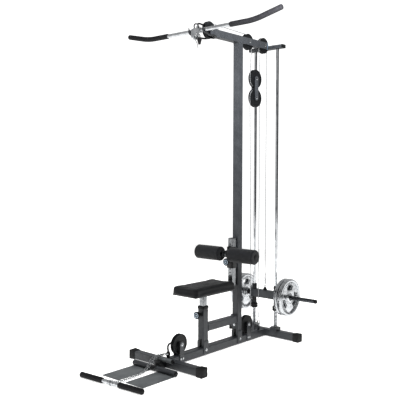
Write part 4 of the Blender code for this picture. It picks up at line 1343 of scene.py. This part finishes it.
# bars
latBar = {"y": -0.430, "z": 2.157, "radius": 0.0125, "grip": 0.0168, "bendX": 0.455, "bend": 0.060,
    "gripStart": 0.270, "end": (0.655, 0.045)}


def latRoute(start=0.0):
    # half of the bar, from the machine's middle to its right end
    b = latBar
    slope = Vector((b["end"][0] - b["bendX"], 0, b["end"][1])).normalized()
    corner = at(b["bendX"], b["y"], b["z"])
    near, far = corner - Vector((b["bend"], 0, 0)), corner + slope * b["bend"]
    route = [at(start, b["y"], b["z"])]
    route += [near * (1 - t) ** 2 + corner * 2 * t * (1 - t) + far * t**2
        for t in np.linspace(0, 1, 14)]
    end = at(b["end"][0], b["y"], b["z"] + b["end"][1])
    return route + [far.lerp(end, 0.5), end], slope


def gripSleeve(route, radius, slope):
    # a rubber sleeve with a rounded closed end and a small lip where it starts
    tip = route[-1] + slope * 0.0035
    body = [route[0], route[0] + (route[1] - route[0]).normalized() * 0.0015,
        route[0] + (route[1] - route[0]).normalized() * 0.004]
    body += route[1:-1]
    ends = [tip - slope * d for d in (0.0060, 0.0032, 0.0014, 0.0004, 0.0)]
    radii = [radius - 0.0016, radius - 0.0004, radius] + [radius] * len(route[1:-1])
    radii += [radius - 0.0003, radius - 0.0014, radius - 0.0038, radius - 0.0075, radius - 0.0120]
    return sweep(body + ends, radii, 32)


def makeLatBar():
    b = latBar
    half, slope = latRoute()
    other = [Vector((-p.x, p.y, p.z)) for p in half[:0:-1]]
    bar = sweep(other + half, b["radius"], 32)
    shapes = [(bar, "castChrome")]
    # the eye that the cable pulls on: a plate welded across the bar with a hole below it
    y, z = at(0, b["y"], b["z"]).y, b["z"]
    outer = circle(y, z - 0.029, 0.0165, math.radians(-175), math.radians(-5), 20)
    outer += [(y + 0.0150, z), (y + 0.0110, z + 0.0145), (y - 0.0110, z + 0.0145), (y - 0.0150, z)]
    hole = wholeCircle(y, z - 0.029, 0.0095, 24)
    eye = pierced([outer, hole], 0.0, 0.006, 0.0010)
    turn = spin(58, "Z")
    pivot = Vector((0, y, 0))
    eye = ([turn @ (p - pivot) + pivot for p in eye[0]], eye[1])
    put(shapes, "brightZinc", eye)
    sleeve = [(0.0126, 0.030), (0.0152, 0.030), (0.0160, 0.029), (0.0160, -0.029), (0.0152, -0.030),
        (0.0126, -0.030)]
    put(shapes, "brightZinc", lathe(sleeve, at(0, b["y"], b["z"]), "X", 40, ring=True))
    for x in (-0.024, 0.024):
        rib = [(0.0155, 0.003), (0.0175, 0.002), (0.0175, -0.002), (0.0155, -0.003)]
        put(shapes, "brightZinc", lathe(rib, at(x, b["y"], b["z"]), "X", 40, ring=True))
    piece("latBarTube", "lat_bar", shapes, ["lat_bar"])
    route, slope = latRoute(b["gripStart"])
    grip = gripSleeve(route, b["grip"], slope)
    piece("latGripRight", "lat_bar", [(grip, "foamedGripRubber")], ["lat_grip_right"])
    piece("latGripLeft", "lat_bar", [(mirrored(grip), "foamedGripRubber")],
        ["lat_grip_left"])


def snapHook(middle, length, width, wire, tilt, finish="brightZinc"):
    # a pear-shaped snap hook with a sprung gate; tilt is a matrix that turns it from upright
    half = length / 2
    ring = []
    for a in np.linspace(0, 2 * math.pi, 41)[:-1]:
        wide = width / 2 * (1 + 0.22 * math.sin(a))
        ring.append(Vector((0, wide * math.cos(a), half * math.sin(a))))
    route = [tilt @ p + Vector(middle) for p in ring]
    gate = [tilt @ p + Vector(middle) for p in (Vector((0, width * 0.50, -half * 0.45)),
        Vector((0, width * 0.56, half * 0.35)))]
    shapes = [(sweep(route, wire, 12, closed=True), finish), (sweep(gate, wire * 1.35, 12), finish)]
    knuckle = [gate[0] + Vector((-wire * 1.6, 0, 0)), gate[0] + Vector((wire * 1.6, 0, 0))]
    shapes.append((sweep(knuckle, wire * 0.9, 10), finish))
    return shapes


def makeSwivel():
    x, y, _ = middleOf("lat_swivel")
    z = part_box("lat_swivel")[0].z
    body = [(0, 0.0), (0.0085, 0), (0.0105, 0.0012), (0.0110, 0.004), (0.0110, 0.012),
        (0.0100, 0.0145), (0.0070, 0.0160), (0.0058, 0.0180), (0.0058, 0.0225), (0.0048, 0.0255),
        (0, 0.0265)]
    shapes = [(lathe(body, (x, y, z), "Z", 40), "brightZinc")]
    # the hook's ring round the swivel, seen edge on beside the wheel
    ringMiddle = Vector((-0.012, y - 0.001, z + 0.010))
    shapes += snapHook(ringMiddle, 0.046, 0.027, 0.0038, spin(-62, "Z") @ spin(14, "X"),
        "phosphatedSteel")
    # the flat snap plate that clips the bar's eye, with its round hole
    plate = [(-0.044, 0.012), (-0.020, 0.018), (0.010, 0.016), (0.022, 0.004), (0.022, -0.030),
        (0.002, -0.038), (-0.010, -0.030), (-0.018, -0.034), (-0.028, -0.046), (-0.042, -0.040),
        (-0.046, -0.018)]
    hole = wholeCircle(0.007, -0.020, 0.0085, 28)
    sheet = pierced([plate, hole], 0.0, 0.0045, 0.0008)
    facing = Matrix.Translation((0, y - latBar["radius"] - 0.0035, latBar["z"] - 0.002)) @ \
        spin(-90, "Z", 4)
    put(shapes, "castChrome", ([facing @ p for p in sheet[0]], sheet[1]))
    piece("latSwivel", "lat_bar", shapes, ["lat_swivel"])
    # what hangs under the eye: a shackle, the rope's tapered stop and the rope's bare tail
    hang = Vector((0.004, y, latBar["z"] - 0.040))
    shapes = snapHook(hang + Vector((0, 0, 0.002)), 0.036, 0.020, 0.0026, spin(-32, "Z"))
    stop = [(0, 0), (0.0120, 0), (0.0150, -0.003), (0.0150, -0.010), (0.0125, -0.020),
        (0.0085, -0.036), (0.0070, -0.040), (0, -0.040)]
    put(shapes, "mouldedRubber", lathe(stop, hang + Vector((0.006, 0.004, -0.010)), "Z", 32))
    tail = smoothRoute([hang + Vector(p) for p in ((-0.026, -0.004, -0.006),
        (-0.020, -0.004, -0.022), (-0.011, -0.003, -0.038), (-0.004, -0.002, -0.056),
        (-0.001, -0.002, -0.074))], 5)
    put(shapes, "brightZinc", sweep(tail, 0.0022, 10))
    clamp = roundBox(hang + Vector((-0.036, -0.010, -0.018)), hang + Vector((-0.014, 0.006, 0.004)),
        0.004, 3)
    put(shapes, "brightZinc", clamp)
    piece("latHookSet", "lat_bar", shapes)


rowBar = {"y": -1.185, "z": 0.017, "half": 0.253, "turn": 4.0, "radius": 0.0125, "grip": 0.0168,
    "gripStart": 0.066}


def makeRowBar():
    b = rowBar
    place = Matrix.Translation(at(0, b["y"], b["z"])) @ spin(b["turn"], "Z", 4)

    def placed(shape):
        return [place @ Vector(p) for p in shape[0]], shape[1]

    shapes = [(placed(roundedRod(b["radius"], 2 * b["half"] - 0.012, (0, 0, 0), "X", 32)),
        "castChrome")]
    for x in (-0.022, 0.022):  # two thin collars keep the chain's ring in the middle
        put(shapes, "brightChrome", placed(roundedRod(0.0148, 0.006, (x, 0, 0), "X", 36, 0.001)))
    loop = [Vector((0, 0.0175 * math.cos(a), 0.0005 + 0.0155 * math.sin(a)))
        for a in np.linspace(0, 2 * math.pi, 33)[:-1]]
    put(shapes, "brightZinc", placed(sweep(loop, 0.0022, 10, closed=True)))
    piece("rowBarTube", "row_bar", shapes, ["row_bar"])
    for side, word in ((-1, "Left"), (1, "Right")):
        route = [Vector((side * x, 0, 0)) for x in (b["gripStart"], 0.12, 0.18, b["half"] - 0.0038)]
        grip = gripSleeve(route, b["grip"], Vector((side, 0, 0)))
        piece("rowGrip" + word, "row_bar", [(placed(grip), "foamedGripRubber")],
            [f"row_grip_{word.lower()}"])


# chain
chain = {"pitch": 0.0148, "link": 0.0060, "wire": 0.0021}
chainRoute = [(0, -0.762, 0.0905), (0, -0.790, 0.0885), (-0.001, -0.822, 0.079),
    (-0.003, -0.862, 0.048), (-0.006, -0.905, 0.0175), (-0.006, -0.960, 0.0083),
    (0.002, -1.030, 0.0083), (0.004, -1.100, 0.0083), (0.001, -1.145, 0.011), (0, -1.165, 0.014)]
spareRoute = [(-0.006, -0.760, 0.0900), (-0.017, -0.790, 0.0880), (-0.022, -0.826, 0.076),
    (-0.018, -0.866, 0.044), (-0.012, -0.905, 0.0165), (-0.0110, -0.935, 0.0088)]


def makeChain():
    paint = paintOf("brightZinc")
    made = []
    for route in (chainRoute, spareRoute):
        curve = routeObject(smoothRoute([at(*p) for p in route], 8))
        made.append(grow(trees["chain"], curve, "links", Pitch=chain["pitch"],
            LinkRadius=chain["link"], Stretch=(1.62, 1.0, 1.0), Wire=chain["wire"], Finish=paint))
    settle(joinObjects("rowChain", made), "row_bar")
    ballY, bottom = at(0, -0.708, 0).y, 0.0565
    ball = [(0, 0.042), (0.0050, 0.042), (0.0070, 0.0410), (0.0105, 0.0370), (0.0130, 0.0300),
        (0.0136, 0.0220), (0.0128, 0.0130), (0.0100, 0.0050), (0.0070, 0.0010), (0.0055, 0.0),
        (0, 0.0)]
    shapes = [(lathe(ball, (0, ballY, bottom), "Z", 40), "mouldedRubber")]
    flat = spin(90, "Y") @ spin(90, "X")
    shapes += snapHook(at(0.002, -0.744, 0.0885), 0.060, 0.026, 0.0030, flat)
    eyelet = [at(0, -0.722 + 0.008 * math.cos(a), 0.083 + 0.008 * math.sin(a))
        for a in np.linspace(0, 2 * math.pi, 25)[:-1]]
    put(shapes, "brightZinc", sweep(eyelet, 0.0020, 10, closed=True))
    piece("rowStopAndHook", "row_bar", shapes, ["row_chain"])


# footplates
def makeFootplates():
    shapes = [(roundBox(at(-0.020, -0.806, 0.008), at(0.020, -0.7483, 0.060), 0.002, 3),
        "blackPowderCoat"), (roundBox(at(-0.020, -0.846, 0.006), at(0.020, -0.790, 0.036), 0.003,
        3), "blackPowderCoat")]
    pivot = at(0, -0.830, 0.0195)
    put(shapes, "brightZinc", roundedRod(0.0080, 0.370, pivot, "X", 28))
    for side in (-1, 1):
        put(shapes, "mouldedNylon", roundedRod(0.0135, 0.0045,
            pivot + Vector((side * 0.1855, 0, 0)), "X", 32, 0.0012))
    heel = at(0, -0.775, 0.066)
    put(shapes, "wrinklePowderCoat", roundedRod(0.0129, 0.142, heel + Vector((0.026, 0, 0)), "X",
        40, 0.002))
    put(shapes, "mouldedNylon", roundedRod(0.0132, 0.013, heel + Vector((0.1035, 0, 0)), "X", 40,
        0.003))
    piece("footplateBracket", "frame", shapes, ["footplate_bracket"])
    for side, word in ((-1, "left"), (1, "right")):
        node = f"footplate_{word}"
        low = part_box(node)[0]
        sheet = roundBox((side * 0.0305, low.y, low.z), (side * 0.1775, pivot.y, low.z + 0.004),
            0.0016, 3)
        tubeMiddle = pivot + Vector((side * (0.0205 + 0.182) / 2, 0, 0))
        tube = [(0.0086, 0.0806), (0.0165, 0.0806), (0.0180, 0.0793), (0.0180, -0.0793),
            (0.0165, -0.0806), (0.0086, -0.0806)]
        tubeShape = lathe(tube, tubeMiddle, "X", 48, ring=True)
        piece(f"footplate{word.title()}", f"footplate_{word}",
            [(sheet, "wrinklePowderCoat"), (tubeShape, "anthracitePowderCoat")], [node])


# anchor of the low cable
def makeAnchor():
    y = 0.2602
    eye = arcRoute(y, 0.076, 0.0105, 0, 360, 33)[:-1]
    shapes = [(sweep(eye, 0.0038, 12, closed=True), "blackPowderCoat"),
        (roundBox(at(-0.004, y - 0.008, 0.0545), at(0.004, y + 0.008, 0.066), 0.001, 2),
        "blackPowderCoat")]
    shapes += snapHook(at(0, y, 0.1200), 0.070, 0.022, 0.0028, spin(90, "Z"))
    piece("cableAnchor", "frame", shapes)


# cables
sleeveRadius = 0.0054


def cablePiece(name, route, node, finish="nylonCoatedRope", sleeve=None):
    shapes = [(sweep(route, ropeRadius, 12), finish)]
    if sleeve:  # a rubber tube over the end keeps the cable from kinking
        put(shapes, "mouldedRubber", sweep(route[sleeve], sleeveRadius, 14))
    obj = piece(name, None, shapes)
    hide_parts(node)
    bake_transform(obj)
    return obj


def straight(a, b, count):
    return [Vector(a).lerp(Vector(b), t) for t in np.linspace(0, 1, count)]


def wrap(hub, radius, start, end, count):
    # the part of a cable that lies on a wheel
    return arcRoute(hub.y - uprightY, hub.z, radius, start, end, count)


def makeCables():
    front, middle, rear = (middleOf(n) for n in ("top_front_pulley", "top_middle_pulley",
        "top_rear_pulley"))
    upper, lower = middleOf("block_upper_pulley"), middleOf("block_lower_pulley")
    lowFront, lowRear = middleOf("low_front_pulley"), middleOf("low_rear_pulley")
    small, large = smallWheel["groove"], largeWheel["groove"]
    # over the middle and front wheels to the swivel
    over = wrap(middle, small, 0, 90, 16)
    over += wrap(front, small, 90, 128, 10)
    swivel = middleOf("lat_swivel")
    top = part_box("lat_swivel")[1].z - 0.002
    drop = smoothRoute([over[-1], at(0, -0.366, 2.2080), at(0, -0.388, 2.2035),
        at(0, -0.410, 2.2045), at(0, -0.425, 2.2025), Vector((0, swivel.y, top + 0.004)),
        Vector((0, swivel.y, top))], 10)
    cablePiece("latCableFront", over + drop[1:], "lat_cable_front",
        sleeve=slice(len(over) + 4, None))
    # down from the middle wheel, round the block's upper wheel and up to the rear wheel
    under = wrap(upper, large, 180, 360, 33)
    loop = straight((0, middle.y + small, middle.z), under[0], 30)[:-1] + under
    loop += straight(under[-1], (0, rear.y - small, rear.z), 30)[1:]
    cablePiece("latCableLoop", loop, "lat_cable_loop")
    # over the rear wheel and down to the carriage
    over = wrap(rear, small, 180, 0, 30)
    hookTop = 0.447
    drop = straight(over[-1], (0, rear.y + small, hookTop), 60)[1:]
    lugY = at(0, carriage["y"], 0).y
    cablePiece("latCableRear", over + drop, "lat_cable_rear")
    hookShapes = snapHook(Vector((0, lugY, 0.4120)), 0.072, 0.024, 0.0028, spin(25, "Z"))
    ferrule = [(0, 0.012), (0.0036, 0.012), (0.0044, 0.010), (0.0044, -0.010), (0.0036, -0.012),
        (0, -0.012)]
    hookShapes.append((lathe(ferrule, (0, lugY, hookTop + 0.012), "Z", 20), "brightZinc"))
    piece("carriageHook", "carriage", hookShapes)
    # from the stop, under both low wheels
    lead = [at(0, -0.708, 0.0985), at(0, -0.7095, 0.106), at(0, -0.7120, 0.118),
        at(0, -0.7105, 0.132), at(0, -0.701, 0.1425), at(0, -0.686, 0.1465), at(0, -0.6745, 0.1430)]
    under = wrap(lowFront, large, 168, 270, 24)
    back = wrap(lowRear, large, 270, 360, 20)
    route = smoothRoute(lead + [under[0]], 6) + under[1:] + back
    cablePiece("lowCableFront", route, "low_cable_front",
        "blackCoatedRope", slice(0, 34))
    # up round the block's lower wheel and down to the anchor
    over = wrap(lower, large, 180, 0, 33)
    anchorTop = 0.158
    loop = straight((0, lowRear.y + large, lowRear.z), over[0], 60)[:-1] + over
    loop += straight(over[-1], (0, lower.y + large, anchorTop), 60)[1:]
    cablePiece("lowCableLoop", loop, "low_cable_loop")
    piece("anchorFerrule", "frame",
        [(lathe(ferrule, (0, lower.y + large, anchorTop + 0.010), "Z", 20), "brightZinc")])


def makeFloor():
    size = view["floorSize"] / 2
    mesh = bpy.data.meshes.new("floor")
    mesh.from_pydata([(-size, -size, 0), (size, -size, 0), (size, size, 0), (-size, size, 0)], [],
        [(0, 1, 2, 3)])
    mesh.materials.append(paintOf("backdropPaint"))
    floor = newObject("floor", mesh)
    floor.location.z = cadBox[0].z


makeFloor()
makeFrame()
makePlugs()
makeWelds()
makeFrameBolts()
makeFeet()
print("frame dressed")
makePulleys()
makeStraps()
makeBlock()
makeHooks()
print("pulleys and brackets ready")
makeGuides()
makeCarriage()
makePlates()
print("carriage and plates ready")
makeSeatFrame()
makeSeatPad()
makeKnobs()
makeRollerPost()
makeRollers()
print("seat and thigh rollers ready")
makeLatBar()
makeSwivel()
makeRowBar()
makeChain()
makeFootplates()
makeAnchor()
makeCables()
print("bars, chain, footplates and cables ready")
